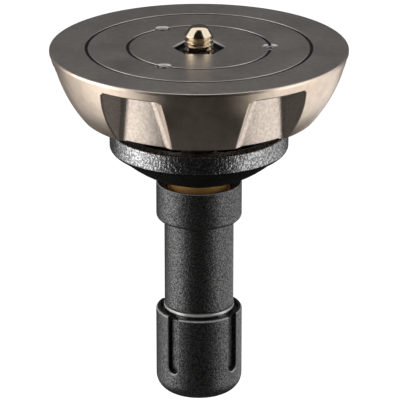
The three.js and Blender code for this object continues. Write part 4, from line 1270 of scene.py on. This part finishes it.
class ADAPTER_OT_ball(StepOperator, Operator):
    """Makes the half ball with its windows, grooves and webs"""
    bl_idname = "adapter.ball"
    bl_label = "Make Half Ball"
    make = staticmethod(make_ball)


class ADAPTER_OT_stud(StepOperator, Operator):
    """Makes the camera stud and its nut"""
    bl_idname = "adapter.stud"
    bl_label = "Make Camera Stud"
    make = staticmethod(make_stud)


class ADAPTER_OT_set_screws(StepOperator, Operator):
    """Makes the three set screws"""
    bl_idname = "adapter.set_screws"
    bl_label = "Make Set Screws"
    make = staticmethod(make_set_screws)


class ADAPTER_OT_rod(StepOperator, Operator):
    """Makes the clamp rod with its nut, pin and end stop"""
    bl_idname = "adapter.rod"
    bl_label = "Make Clamp Rod"
    make = staticmethod(make_rod)


class ADAPTER_OT_cup(StepOperator, Operator):
    """Makes the clamp cup and its bush"""
    bl_idname = "adapter.cup"
    bl_label = "Make Clamp Cup"
    make = staticmethod(make_cup)


class ADAPTER_OT_washer(StepOperator, Operator):
    """Makes the thrust washer"""
    bl_idname = "adapter.washer"
    bl_label = "Make Thrust Washer"
    make = staticmethod(make_washer)


class ADAPTER_OT_handle(StepOperator, Operator):
    """Makes the handle tube and finishes its insert"""
    bl_idname = "adapter.handle"
    bl_label = "Make Handle"
    make = staticmethod(make_handle)


class ADAPTER_OT_knob(StepOperator, Operator):
    """Makes the knob with its ring, washer, screw and plug"""
    bl_idname = "adapter.knob"
    bl_label = "Make Knob"
    make = staticmethod(make_knob)


class ADAPTER_OT_stage(StepOperator, Operator):
    """Makes the camera, floor, lamps and cards"""
    bl_idname = "adapter.stage"
    bl_label = "Make Stage"
    make = staticmethod(make_stage)


STEPS = (ADAPTER_OT_finishes, ADAPTER_OT_ball, ADAPTER_OT_stud, ADAPTER_OT_set_screws, ADAPTER_OT_rod,
         ADAPTER_OT_cup, ADAPTER_OT_washer, ADAPTER_OT_handle, ADAPTER_OT_knob, ADAPTER_OT_stage)


class ADAPTER_PT_steps(Panel):
    """Lists the building steps and their settings"""
    bl_label = "Half Ball Adapter"
    bl_idname = "ADAPTER_PT_steps"
    bl_space_type = "VIEW_3D"
    bl_region_type = "UI"
    bl_category = "Half Ball"

    def draw(self, context):
        for step in STEPS:
            self.layout.operator(step.bl_idname)
        for name, group in SETTINGS.items():
            box = self.layout.box()
            for key in group.__annotations__:
                box.prop(getattr(context.scene, name), key)


def register():
    for item in (*SETTINGS.values(), *STEPS, ADAPTER_PT_steps):
        bpy.utils.register_class(item)
    for name, group in SETTINGS.items():
        setattr(bpy.types.Scene, name, PointerProperty(type=group))


def unregister():
    for name in SETTINGS:
        delattr(bpy.types.Scene, name)
    for item in reversed((*SETTINGS.values(), *STEPS, ADAPTER_PT_steps)):
        bpy.utils.unregister_class(item)


def main():
    register()
    for step in STEPS:
        area, name = step.bl_idname.split(".")
        getattr(getattr(bpy.ops, area), name)()


if __name__ == "__main__":
    main()
